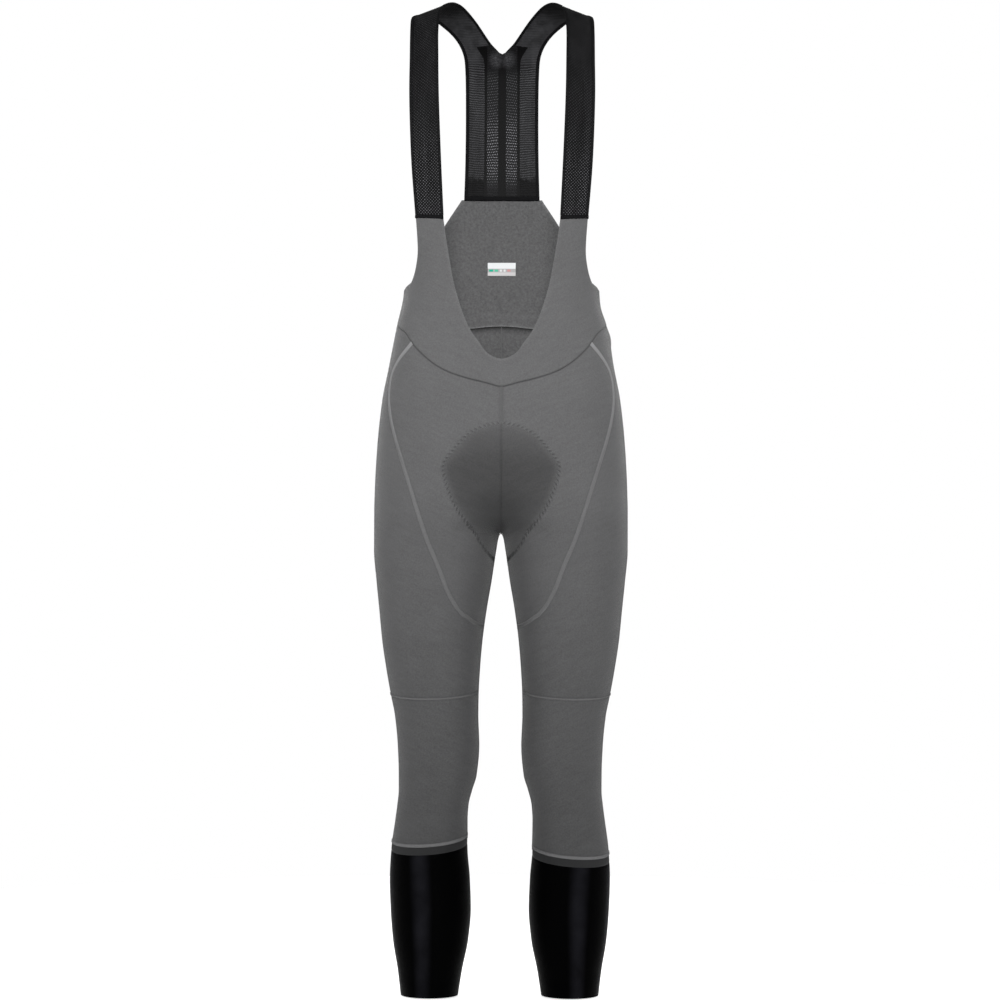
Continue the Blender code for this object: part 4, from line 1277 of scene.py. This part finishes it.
def pad_marks(spots):
    """How the sewn-in pad shows through the cloth: its darker tone, with painted shade that deepens down
    the pad, its outline and the way along that.
    """
    placed = skin(spots)
    marks = {name: np.zeros(spots.shape[:-1]) for name in ("pad", "pad_edge", "pad_along")}
    for points, front in ((PAD_FRONT, True), (PAD_BACK, False)):
        edge = curve([*points, (0.0, PAD_FOOT_DROP)], mirrored=True)
        here = np.stack([placed[..., 0], spots[..., 1], spots[..., 0] * 0], -1)
        away, along = nearest_on(here, np.pad(edge, ((0, 0), (0, 1))))
        b = np.vstack([edge, edge[::-1] * (-1, 1)])
        a = np.roll(b, 1, axis=0)
        px, pz = here[..., 0, None], here[..., 1, None]
        crosses = (a[:, 1] > pz) != (b[:, 1] > pz)
        rise = np.where(b[:, 1] == a[:, 1], 1e-9, b[:, 1] - a[:, 1])
        inside = np.sum(crosses & (px < (b[:, 0] - a[:, 0]) * (pz - a[:, 1]) / rise + a[:, 0]), -1) % 2 == 1
        signed = np.where(inside, away, -away)
        shade = ease(-0.004, 0.010, signed) * 0.88 + ease(0.0, 0.03, signed) * 0.12
        # Painted shade: the pad's darkening deepens down the front of the pad, and eases off again near the
        # crotch.
        deep = 0.62 + 0.38 * ease(0.585, 0.640, spots[..., 1]) - 0.42 * ease(0.672, 0.735, spots[..., 1])
        deep = deep if front else 0.6
        here_too = (spots[..., 0] < 0.5) == front
        for name, values in (
            ("pad", shade * deep),
            ("pad_edge", np.clip(1 + signed / PAD_MARK_REACH, 0, 2)),
            ("pad_along", along),
        ):
            marks[name] = np.where(here_too, values, marks[name])
    return marks


# How far a kind of seam reaches, how deep it dips, both in millimetres, and how much painted shade darkens
# the cloth along it
FLAT = (2.9, 0.35, 0.10)
GROOVE = (0.9, 0.7, 0.60)
TAPED = (2.9, 0.3, 0.22)
MIDDLE = (0.9, 0.5, 0.20)
CUFF_JOIN = (1.2, 0.4, 0.3)
FOLDED_EDGE = (1.6, 0.35, 0.0)


def insert_sheets(side):
    """The leaf-shaped front thigh insert."""
    sewn = seam_lines()
    edge = insert_edge()
    rows, columns = grid_lines(edge), grid_lines(waist(np.linspace(0, INSERT_TOP_SHARE, 100)))
    centre = sample(straight((0, waist(0.0)[1]), (0, INSERT_FOOT_DROP)), rows)
    top, bottom = waist(INSERT_TOP_SHARE * columns), insert_foot(columns)
    spots = patch(centre, sample(edge, rows), top, bottom, rows, columns)
    seams = [
        Seams([sewn["leaf"], sewn["inner_leg"]], *FLAT),
        Seams([sewn["waist"]], *GROOVE),
        Seams([sewn["front_top"]], *TAPED),
        Seams([sewn["front"]], *MIDDLE),
    ]
    return [body_sheet(spots, side, seams, marks=pad_marks(spots))]


def thigh_sheets(side):
    """Outer thigh, seat and back of the leg, lapped outside the bib back."""
    sewn = seam_lines()
    edge = insert_edge()
    rows = grid_lines(edge)
    left = sample(edge, rows)
    columns = lines(0.29, sewing().cell)
    shares = INSERT_TOP_SHARE + (1 - INSERT_TOP_SHARE) * columns
    top = waist(shares) - np.stack([shares * 0, HEM_LAP * ease(0.5, 0.515, shares)], -1)
    right = sample(straight((1, top[-1, 1]), (1, left[-1, 1])), rows)
    bottom = left[-1] * (1 - columns[:, None]) + right[-1] * columns[:, None]
    upper = patch(left, right, top, bottom, rows, columns)
    above = np.vstack([insert_foot(lines(0.055, sewing().cell))[:-1], bottom])
    knee = ring(*KNEE, above[:, 0])
    down = lines(0.1, sewing().cell)[:, None, None]
    lower = above * (1 - down) + knee * down
    seams = [
        Seams([sewn["leaf"], sewn["inner_leg"], sewn["knee"]], *FLAT),
        Seams([sewn["waist_front"]], *GROOVE),
        Seams([sewn["back"]], *MIDDLE),
    ]
    rear_waist = sewn["waist"][sewn["waist"][:, 0] > 0.53]
    sheets = []
    for spots in (upper, lower):
        # The lap mark is a painted shadow under the bib back's hem, on the inside of the seat.
        marks = {"lap": near_lines(spots, [rear_waist + (0, 0.0014)], 0.0044), **pad_marks(spots)}
        sheets.append(body_sheet(spots, side, seams, marks=marks))
    return sheets


def bib_front_sheets(side):
    """The bib front's half: a band up to the shoulder tab, and a wing under the armhole."""
    sewn = seam_lines()
    neck, armhole = front_spots(curve(NECK_EDGE, mirrored=True)), front_spots(curve(ARMHOLE_EDGE))
    split = np.searchsorted(reach_along(skin(neck)) / reach_along(skin(neck))[-1], 1 - NECK_SPLIT)
    fraction = reach_along(skin(neck))[split] / reach_along(skin(neck))[-1]
    rows = grid_lines(armhole)
    columns = lines(0.055, sewing().cell)
    neck_up = sample(neck, 1 - (1 - fraction) * rows)
    armhole_down = sample(armhole[::-1], rows)
    shoulder = straight(neck_up[0], armhole_down[0])
    level = straight(neck_up[-1], armhole_down[-1])
    upper = patch(neck_up, armhole_down, sample(shoulder, columns), sample(level, columns), rows, columns)
    side_line = straight((0.5, ARMHOLE_DROP), waist(0.5))
    under = straight(armhole_down[-1], side_line[0])
    across = np.vstack([sample(level, columns), sample(under, lines(0.04, sewing().cell))[1:]])
    down = lines(0.30, sewing().cell)
    outer = np.vstack([side_line, waist(np.linspace(0.5, 0.0, 400))[1:]])
    foot = straight(sample(neck, [0.0])[0], outer[-1])
    reach = reach_along(skin(across))
    neck_down = sample(neck, fraction * (1 - down))
    bottom = sample(foot, reach / reach[-1])
    lower = patch(neck_down, sample(outer, down), across, bottom, down, reach / reach[-1])
    # The edge mark is a painted highlight along the neck and the armhole.
    edges = [neck, armhole]
    seams = [Seams([sewn["waist_front"], sewn["side"]], *GROOVE), Seams(edges, *FOLDED_EDGE)]
    sheets = []
    for spots in (upper, lower):
        sheets.append(body_sheet(spots, side, seams, marks={"edge": near_lines(spots, edges, 0.0022)}))
    return sheets


def bib_back_sheets(side):
    """The bib back's half. Its foot steps inwards, inside the top of the seat."""
    sewn = seam_lines()
    corner = back_spot(SeamPoint(BACK_TOP_HALF, BACK_TOP_DROP))
    slope = curve([(0.5, ARMHOLE_DROP), *front_spots(BACK_SLOPE, behind=True), corner])
    outer = np.vstack([slope[::-1], straight((0.5, ARMHOLE_DROP), waist(0.5), 60)[1:]])
    rows, columns = grid_lines(outer, 0.0035), lines(0.11, sewing().cell)
    centre = sample(straight((1, BACK_TOP_DROP), waist(1.0)), rows)
    top = sample(straight(corner, centre[0]), columns)
    bottom = waist(0.5 + 0.5 * columns)
    spots = patch(sample(outer, rows), centre, top, bottom, rows, columns)
    above = waist(spots[..., 0])[..., 1] - spots[..., 1]
    inset = LAP_INSET * (1 - ease(LAP_STEP_STARTS, LAP_STEP_ENDS, above))
    seams = [Seams([sewn["side"]], *GROOVE), Seams([slope], *FOLDED_EDGE)]
    # The edge mark is a painted highlight along the slope and the hem at the foot.
    marks = {"edge": near_lines(spots, [slope, bottom], 0.0020)}
    return [body_sheet(spots, side, seams, lift=-inset, marks=marks)]


RING_SHARES = np.linspace(0, 1, 300)


def tube_sheets(side, top, foot, seams):
    """A closed tube of the leg between an upper and a lower ring."""
    shares = np.linspace(0, 1, 85)
    rows = lines(foot[0] - top[0], sewing().cell)[:, None, None]
    spots = ring(*top, shares) * (1 - rows) + ring(*foot, shares) * rows
    return [body_sheet(spots, side, [seams])]


def both_sides(name, node, sheets_of, finishes, wall):
    """The left and the right piece, each in the place of its CAD node."""
    for side in SIDES:
        make_piece(f"{name}_{side}", sheets_of(side), finishes, [f"{node}_{side}"], wall)


def strap_lines():
    """The strap's outer and inner edges as fine lines of points, from the front tab to the bib back."""
    foot_outer, foot_inner = skin(front_spot(TAB_OUTER)), skin(front_spot(TAB_INNER))
    top_outer = skin(back_spot(SeamPoint(BACK_TOP_HALF - 0.0035, BACK_TOP_DROP)))
    top_inner = skin((1.0, BACK_TOP_DROP))
    outer = curve([foot_outer, *[(s.outer_x, s.outer_y, -s.outer_drop) for s in STRAP], top_outer])
    inner = curve([foot_inner, *[(s.inner_x, s.inner_y, -s.inner_drop) for s in STRAP], top_inner])
    inner[:, 0] = np.maximum(inner[:, 0], HALF_CENTRE_GAP)
    return outer, inner


def strap_grid(rows, columns):
    """Points and outward directions of the strap at fractions of its length and width."""
    outer, inner = (sample(line, rows, measure=lambda p: p)[:, None] for line in strap_lines())
    points = outer * (1 - columns[:, None]) + inner * columns[:, None]
    along = np.gradient(points, axis=0)
    across = np.broadcast_to(inner - outer, points.shape)
    return points, unit(np.cross(along, across))


# Long soft ripples of the straps, each from a share of the width and length to another
STRAP_FOLDS = [
    Fold(0.40, 0.02, 0.46, 0.30, 4, -1.0),
    Fold(0.74, 0.02, 0.72, 0.22, 4, -0.9),
    Fold(0.55, 0.30, 0.42, 0.44, 6, -0.9),
    Fold(0.20, 0.55, 0.80, 0.62, 5, -1.3),
    Fold(0.10, 0.60, 0.72, 0.68, 5, -1.2),
    Fold(0.30, 0.50, 0.95, 0.555, 6, 0.9),
]


def strap_points(rows, columns, side, lift=0.0):
    points, out = strap_grid(rows, columns)
    place = np.stack(np.broadcast_arrays(columns[None] * STRAP_WIDTH, rows[:, None] * STRAP_LENGTH), -1)
    height = fold_height(place, STRAP_FOLDS, STRAP_WIDTH, STRAP_LENGTH)
    points = points + out * (height + lift)[..., None]
    if side == "right":
        points, out = points * (-1, 1, 1), out * (-1, 1, 1)
    return points, out, place


def strap_sheets(side):
    rows, columns = np.linspace(0, 1, STRAP_ROWS), lines(STRAP_WIDTH, STRAP_WIDTH / 10)
    points, _, place = strap_points(rows, columns, side)
    return [Sheet(points, place, {}, side == "right")]


def strap_path(share, first, last, step, side, lift=0.0):
    """A path along the strap at a share of its width."""
    rows = np.linspace(first, last, max(3, round((last - first) * STRAP_LENGTH / step)) + 1)
    near = np.clip([share - 0.05, share, share + 0.05], 0, 1)
    points, out, _ = strap_points(rows, near, side, lift)
    return path_from(points[:, 1], out[:, 1])


def cross_path(row, side, first=0.0, last=1.0, count=24, lift=0.0):
    """A path across the strap at a share of its length."""
    points, out, _ = strap_points(np.array([row, row + 0.002]), np.linspace(first, last, count), side, lift)
    return path_from(points[0], out[0])


def binding_sheets(side):
    """A folded binding along both edges of the strap."""
    size = sewing()
    half, wall = size.binding_width / 2, size.mesh_wall
    share = 0.86 * half / STRAP_WIDTH
    profile = wrapped_profile(size.binding_width, wall)
    narrow = wrapped_profile(size.binding_width * 0.72, wall)
    outer = strap_path(share, 0.008, 0.992, 0.004, side)
    inner = strap_path(1 - share * 0.72, 0.008, 0.992, 0.004, side)
    return [swept(outer, profile), swept(inner, narrow)]


def wrapped_profile(width, wall):
    """A thin tape folded round an edge: a flat rounded outline about the middle of the wall."""
    half_height = wall / 2 + 0.0008
    around = np.linspace(math.pi, -math.pi, 14, endpoint=False)
    across = np.sign(np.cos(around)) * np.abs(np.cos(around)) ** 0.35 * width / 2
    out = np.sign(np.sin(around)) * np.abs(np.sin(around)) ** 0.6 * half_height
    return list(zip(across, out - wall / 2))


def make_tapes(name, sheets, finish, replaced=()):
    """A piece of closed swept tapes."""
    make_piece(name, sheets, [finish], replaced, caps=True)


class TightsOperator:
    """What every operator of this add-on shares."""

    bl_options = {"REGISTER", "UNDO"}


class TIGHTS_OT_inserts(TightsOperator, bpy.types.Operator):
    """Makes the leaf-shaped inserts down the front of the thighs"""

    bl_idname = "tights.inserts"
    bl_label = "Thigh inserts"

    def execute(self, context):
        both_sides("leaf_insert", "thigh_insert", insert_sheets, KNIT, sewing().knit_wall)
        return {"FINISHED"}


class TIGHTS_OT_thighs(TightsOperator, bpy.types.Operator):
    """Makes the panels round the outer thigh and seat"""

    bl_idname = "tights.thighs"
    bl_label = "Thigh and seat panels"

    def execute(self, context):
        both_sides("seat_panel", "thigh_panel", thigh_sheets, KNIT, sewing().knit_wall)
        return {"FINISHED"}


class TIGHTS_OT_bib(TightsOperator, bpy.types.Operator):
    """Makes the bib front and the bib back"""

    bl_idname = "tights.bib"
    bl_label = "Bib"

    def execute(self, context):
        for name, node, sheets_of in (
            ("front_bib", "bib_front", bib_front_sheets),
            ("rear_bib", "bib_back", bib_back_sheets),
        ):
            sheets = sheets_of("left") + sheets_of("right")
            make_piece(name, sheets, KNIT, [node], sewing().knit_wall)
        return {"FINISHED"}


class TIGHTS_OT_legs(TightsOperator, bpy.types.Operator):
    """Makes the lower legs, the dark bands and the cuffs"""

    bl_idname = "tights.legs"
    bl_label = "Lower legs and cuffs"

    def execute(self, context):
        size = sewing()
        hem = (HEM_DROP, 0.0, 0.0)
        for side, cuff in CUFF_DROP.items():
            top, foot = (cuff, *CUFF_SLANT), (cuff + BAND_HEIGHT, *CUFF_SLANT)
            knee_line, top_line, foot_line = (ring(*edge, RING_SHARES) for edge in (KNEE, top, foot))
            inner_leg = straight((0, KNEE_DROP), (0, cuff))
            calf_seams = Seams([knee_line, top_line, inner_leg], *FLAT)
            band_seams = Seams([top_line, foot_line], *CUFF_JOIN)
            ankle_seams = Seams([foot_line], *CUFF_JOIN)
            for name, node, upper, lower, seams, finishes, wall in (
                ("calf", "lower_leg", KNEE, top, calf_seams, KNIT, size.knit_wall),
                ("band", "cuff_band", top, foot, band_seams, ["band"], size.cuff_wall),
                ("ankle", "cuff", foot, hem, ankle_seams, ["cuff"], size.cuff_wall),
            ):
                sheets = tube_sheets(side, upper, lower, seams)
                make_piece(f"{name}_{side}", sheets, finishes, [f"{node}_{side}"], wall)
        return {"FINISHED"}


class TIGHTS_OT_straps(TightsOperator, bpy.types.Operator):
    """Makes the mesh straps and the bindings along their edges"""

    bl_idname = "tights.straps"
    bl_label = "Straps"

    def execute(self, context):
        both_sides("mesh_strap", "strap", strap_sheets, ["mesh"], sewing().mesh_wall)
        for side in SIDES:
            make_tapes(f"strap_binding_{side}", binding_sheets(side), "tape")
        return {"FINISHED"}


class TIGHTS_OT_tapes(TightsOperator, bpy.types.Operator):
    """Makes the tapes at the feet of the straps"""

    bl_idname = "tights.tapes"
    bl_label = "Strap tapes"

    def execute(self, context):
        profile = flat_profile(TAPE_HEIGHT, 0.0011, sunk=0.0002)
        half = TAPE_HEIGHT / 2 / STRAP_LENGTH
        for side in SIDES:
            path = cross_path(half, side, lift=0.0004)
            make_tapes(f"tab_tape_{side}", [swept(path, profile)], "tape", [f"strap_tape_{side}"])
        inwards = -sewing().mesh_wall - LAYER_GAP
        left = cross_path(1 - half, "left", lift=inwards)
        right = cross_path(1 - half, "right", lift=inwards)
        points = np.vstack([left.points, right.points[::-1][1:]])
        out = np.vstack([-left.out, -right.out[::-1][1:]])
        deep = flat_profile(TAPE_HEIGHT * 1.25, 0.0014, sunk=0.0002)
        make_tapes("yoke_tape", [swept(path_from(points, out), deep)], "tape", ["back_tape"])
        return {"FINISHED"}


class TIGHTS_OT_ladder(TightsOperator, bpy.types.Operator):
    """Makes the ladder mesh along the middle of the back"""

    bl_idname = "tights.ladder"
    bl_label = "Back insert"

    def execute(self, context):
        inner = strap_lines()[1]
        reach = reach_along(inner) / reach_along(inner)[-1]
        after = reach[(reach > 0.5) & (-inner[:, 2] > INSERT_START_DROP)]
        rows = np.linspace(after[0], 1 - (TAPE_HEIGHT + LAYER_GAP) / STRAP_LENGTH, 60)
        columns = np.linspace(INSERT_OUTER_SHARE, 1, 8)
        wall = sewing().mesh_wall
        sheets = []
        for side in SIDES:
            points, _, place = strap_points(rows, columns, side, -wall - 0.0004)
            near_centre = np.abs(points[:, -1, 0]) < 0.004
            points[near_centre, -1, 0] = 0.0
            uv = np.stack([points[..., 0], place[..., 1]], -1)
            sheets.append(Sheet(points, uv, {}, side == "right"))
        make_piece("ladder_mesh", sheets, ["ladder"], ["back_insert"], wall)
        return {"FINISHED"}


class TIGHTS_OT_seams(TightsOperator, bpy.types.Operator):
    """Sews the flat seams, the cuff piping and the pad's zigzag outline"""

    bl_idname = "tights.seams"
    bl_label = "Seams and stitches"

    def execute(self, context):
        size = sewing()
        sewn = seam_lines()
        flat = flat_profile(size.flatlock_width, size.flatlock_height)
        ridges, threads, pipes = [], [], []
        for side, cuff in CUFF_DROP.items():
            for line in (sewn["leaf"], straight((0, CROTCH_DROP), (0, cuff))):
                ridges.append(swept(body_path(line, side, 0.004), flat))
                for shift in (-0.0021, 0.0021):
                    threads.append(body_path(line, side, 0.003, size.flatlock_height, shift))
            knee = closed_ring(KNEE, side, 0.004)
            ridges.append(swept(knee, flat_profile(0.003, size.flatlock_height)))
            threads.append(closed_ring(KNEE, side, 0.003, size.flatlock_height))
            pipe = closed_ring((cuff - 0.0006, *CUFF_SLANT), side, 0.004)
            pipes.append(swept(pipe, flat_profile(size.piping_width, 0.0010)))
        middle = [
            swept(body_path(sewn["front_top"], "left", 0.004), flat_profile(0.0042, 0.0004)),
            swept(body_path(sewn["back"], "left", 0.004), flat_profile(0.0030, 0.0004, sunk=0.0013)),
        ]
        make_tapes("flat_seams", ridges, "flatlock")
        make_tapes("middle_seams", middle, "plain_seam")
        make_tapes("cuff_piping", pipes, "piping")
        stitches = stitch_tree()
        sizes = {"Pitch": size.stitch_pitch, "Length": 0.0016, "Thickness": size.stitch_thickness}
        piece = sewn_on("seam_stitches", stitches, threads, finish_of("thread"), Turn=1.1, **sizes)
        hand_over(piece)
        outline_paths = []
        for side in SIDES:
            for points, behind in ((PAD_FRONT, False), (PAD_BACK, True)):
                line = front_spots(curve([*points, (0.0, PAD_FOOT_DROP)]), behind)
                outline_paths.append(body_path(line, side, 0.002, 0.0003))
        sizes = {"Pitch": size.zigzag_pitch, "Width": size.zigzag_width, "Thickness": 0.0008}
        piece = sewn_on("pad_zigzag", zigzag_tree(), outline_paths, finish_of("pad_thread"), **sizes)
        hand_over(piece)
        return {"FINISHED"}


class TIGHTS_OT_pad(TightsOperator, bpy.types.Operator):
    """Makes the seat pad sewn inside the crotch"""

    bl_idname = "tights.pad"
    bl_label = "Seat pad"

    def execute(self, context):
        mesh = joined_mesh("saddle_pad", pad_sheets("left") + pad_sheets("right"))
        piece = piece_from("saddle_pad", mesh, [finish_of("foam")], sharp=70)
        hand_over(piece, ["seat_pad"])
        return {"FINISHED"}


PAD_ROWS, PAD_COLUMNS = 100, 34
# The pad lies this far inside the skin, and farther at its middle and at the crotch
PAD_GAP = 0.0030
PAD_RISE = 0.0012
PAD_SADDLE_RISE = 0.0035
PAD_RIM = 0.0022
PAD_CROWN = 0.0058
PAD_CHANNEL = 0.0030


def angle_skin(spots):
    """The points of the skin at some angles and drops."""
    return at_angle(spots[..., 0], spots[..., 1])


def turned_spots(points, behind=False):
    """Angles and drops of points that are given by their distance from the centre line."""
    across, drop = np.array(points).T
    return np.stack([angles_of(across, drop, behind), drop], -1)


def pad_sheets(side):
    """The pad's half: an outer face on the cloth, a crowned inner face with a channel, and a rim."""
    fine = 300
    front = np.linspace(PAD_FRONT[0].drop, CROTCH_DROP, fine)
    back = np.linspace(CROTCH_DROP, PAD_BACK[0].drop, fine)[1:]
    middle_front = np.stack([outline(front).start, front], -1)
    middle = np.vstack([middle_front, np.stack([outline(back).end - 2 * math.pi, back], -1)])
    top = curve(turned_spots(PAD_FRONT[:4]))
    foot = curve(turned_spots(PAD_BACK[:4], behind=True))
    rim = curve([*turned_spots(PAD_FRONT[3:]), (0, PAD_FOOT_DROP), *turned_spots(PAD_BACK[:2:-1], True)])
    rows, columns = np.linspace(0, 1, PAD_ROWS), np.linspace(0, 1, PAD_COLUMNS)
    edges = [sample(middle, rows, angle_skin), sample(rim, rows, angle_skin)]
    ends = [sample(top, columns, angle_skin), sample(foot, columns, angle_skin)]
    spots = patch(*edges, *ends, rows, columns)
    points, normal = angle_skin(spots), body_normal(spots, angle_skin)
    border = np.vstack([points[0], points[1:, -1], points[-1, ::-1][1:]])
    to_edge = away_from(points, border)
    crotch = np.argmin(np.abs(edges[0][:, 1] - CROTCH_DROP)) / (PAD_ROWS - 1)
    near_crotch = np.exp(-(((rows - crotch) / 0.18) ** 2))[:, None] * (1 - 0.5 * columns[None])
    inset = PAD_GAP + PAD_RISE * (1 - columns[None]) + PAD_SADDLE_RISE * near_crotch
    channel = np.exp(-(((to_edge - 0.024) / 0.0035) ** 2))
    thick = PAD_RIM + PAD_CROWN * ease(0.0, 0.014, to_edge) - PAD_CHANNEL * channel
    outer, inner = points - normal * inset[..., None], points - normal * (inset + thick)[..., None]
    for face in (outer, inner):
        face[:, 0, 0] = 0.0
        face[..., 0] *= -1 if side == "right" else 1
    turned = side == "right"
    down_it = np.broadcast_to(reach_along(points[:, 0])[:, None], to_edge.shape)
    uv = np.stack([columns[None] * 0.09 + down_it * 0, down_it], -1)
    # The seam mark here is painted shade in the pad's channel.
    marks = {"seam": channel}
    sheets = [Sheet(outer, uv, marks, turned), Sheet(inner, uv, marks, not turned)]
    for picked in ((0, slice(None)), (slice(None), -1), (-1, slice(None))):
        band = np.stack([outer[picked], inner[picked]], 1)
        where = np.stack([uv[picked], uv[picked]], 1)
        flip = picked[0] == 0 or picked[1] == -1
        sheets.append(Sheet(band, where, {"seam": np.zeros(band.shape[:2])}, (not turned) == flip))
    return sheets


class TIGHTS_OT_label(TightsOperator, bpy.types.Operator):
    """Makes the small woven label inside the bib back"""

    bl_idname = "tights.label"
    bl_label = "Label"

    def execute(self, context):
        corners = [
            [back_spot(SeamPoint(across, drop)) for across in (LABEL_HALF_WIDTH, 0.0)]
            for drop in (LABEL_TOP_DROP, LABEL_BOTTOM_DROP)
        ]
        rows, columns = np.linspace(0, 1, 9)[:, None, None], np.linspace(0, 1, 11)[:, None]
        top = corners[0][0] * (1 - columns) + corners[0][1] * columns
        bottom = corners[1][0] * (1 - columns) + corners[1][1] * columns
        spots = top * (1 - rows) + bottom * rows
        sheets = [body_sheet(spots, side, [], -sewing().knit_wall - LAYER_GAP) for side in SIDES]
        make_piece("woven_label", sheets, ["label"], ["size_label"], LABEL_WALL)
        return {"FINISHED"}


FLOOR_RADIUS = 1.6
FLOOR_GAP = 0.0015
Lamp = namedtuple("Lamp", "name place aim spread power share")
LAMPS = [
    Lamp("key", (0.0, -3.0, 0.9), -0.35, 0.5, "key", 1.0),
    Lamp("fill", (0.0, -3.0, 0.3), -0.50, 0.5, "fill", 1.0),
    Lamp("left_side", (2.2, 0.2, 0.2), -0.50, 1.0, "sides", 0.9),
    Lamp("right_side", (-2.2, 0.2, 0.2), -0.50, 1.0, "sides", 1.1),
    Lamp("behind", (0.0, 3.0, 0.5), -0.60, 1.0, "behind", 1.0),
]


def add_floor(glow):
    """A pale disc just below the hems."""
    white = Finish("pale_floor", roughness=0.9)
    white.set("Base Color", (0.90, 0.90, 0.90))
    white.set("Emission Color", (1, 1, 1))
    white.set("Emission Strength", glow)
    mesh = bpy.data.meshes.new("floor")
    bm = bmesh.new()
    bmesh.ops.create_circle(bm, cap_ends=True, radius=FLOOR_RADIUS, segments=96)
    bmesh.ops.translate(bm, verts=bm.verts, vec=(0, 0, -HEM_DROP - FLOOR_GAP))
    bm.to_mesh(mesh)
    bm.free()
    mesh.materials.append(white.material)
    in_scene("floor", mesh)


def add_lamp(lamp, power, size):
    """A soft square light that faces a height on the garment's middle."""
    data = bpy.data.lights.new(lamp.name, "AREA")
    data.energy = power * lamp.share
    data.size = size
    data.spread = lamp.spread
    light = in_scene(lamp.name, data)
    light.location = lamp.place
    facing = Vector((0, 0, lamp.aim)) - Vector(lamp.place)
    light.rotation_euler = facing.to_track_quat("-Z", "Y").to_euler()


def add_surround(strength):
    """White walls that look white to the camera and light the garment less."""
    world = bpy.data.worlds.new("studio")
    world.use_nodes = True
    tree = world.node_tree
    background = tree.nodes["Background"]
    background.inputs["Color"].default_value = (1, 1, 1, 1)
    seen = tree.nodes.new("ShaderNodeLightPath")
    level = tree.nodes.new("ShaderNodeMapRange")
    level.inputs["To Min"].default_value = strength
    tree.links.new(seen.outputs["Is Camera Ray"], level.inputs["Value"])
    tree.links.new(level.outputs[0], background.inputs["Strength"])
    bpy.context.scene.world = world


def add_camera(view):
    lens = bpy.data.cameras.new("camera")
    lens.lens = view.lens
    lens.sensor_width = 36
    camera = in_scene("camera", lens)
    camera.location = (view.aside, -view.distance, view.height)
    camera.rotation_euler = Euler((math.pi / 2, view.roll, 0))
    bpy.context.scene.camera = camera


class TIGHTS_OT_stage(TightsOperator, bpy.types.Operator):
    """Sets up the pale floor, the soft light and the camera"""

    bl_idname = "tights.stage"
    bl_label = "Stage"

    def execute(self, context):
        view = studio()
        context.scene.view_settings.view_transform = "Standard"
        add_floor(view.floor)
        for lamp in LAMPS:
            add_lamp(lamp, getattr(view, lamp.power), view.size)
        add_surround(view.surround)
        add_camera(view)
        return {"FINISHED"}


OPERATORS = (
    TIGHTS_OT_inserts,
    TIGHTS_OT_thighs,
    TIGHTS_OT_bib,
    TIGHTS_OT_legs,
    TIGHTS_OT_straps,
    TIGHTS_OT_ladder,
    TIGHTS_OT_tapes,
    TIGHTS_OT_seams,
    TIGHTS_OT_pad,
    TIGHTS_OT_label,
    TIGHTS_OT_stage,
)


class TIGHTS_PT_panel(bpy.types.Panel):
    """The sidebar's list of pieces, sizes and colours"""

    bl_idname = "TIGHTS_PT_panel"
    bl_label = "Bib tights"
    bl_space_type = "VIEW_3D"
    bl_region_type = "UI"
    bl_category = "Bib tights"

    def draw(self, context):
        for group in (sewing(), colours(), studio()):
            box = self.layout.box()
            for name in group.__annotations__:
                box.prop(group, name)
        for operator in OPERATORS:
            self.layout.operator(operator.bl_idname)


GROUPS = {"tights_sewing": TightsSewing, "tights_colours": TightsColours, "tights_studio": TightsStudio}


def register():
    for name, group in GROUPS.items():
        bpy.utils.register_class(group)
        setattr(bpy.types.Scene, name, PointerProperty(type=group))
    for cls in (*OPERATORS, TIGHTS_PT_panel):
        bpy.utils.register_class(cls)


def unregister():
    for cls in (TIGHTS_PT_panel, *reversed(OPERATORS)):
        bpy.utils.unregister_class(cls)
    for name, group in GROUPS.items():
        delattr(bpy.types.Scene, name)
        bpy.utils.unregister_class(group)


def main():
    register()
    for operator in OPERATORS:
        name = operator.bl_idname.split(".")[1]
        getattr(bpy.ops.tights, name)()


if __name__ == "__main__":
    main()
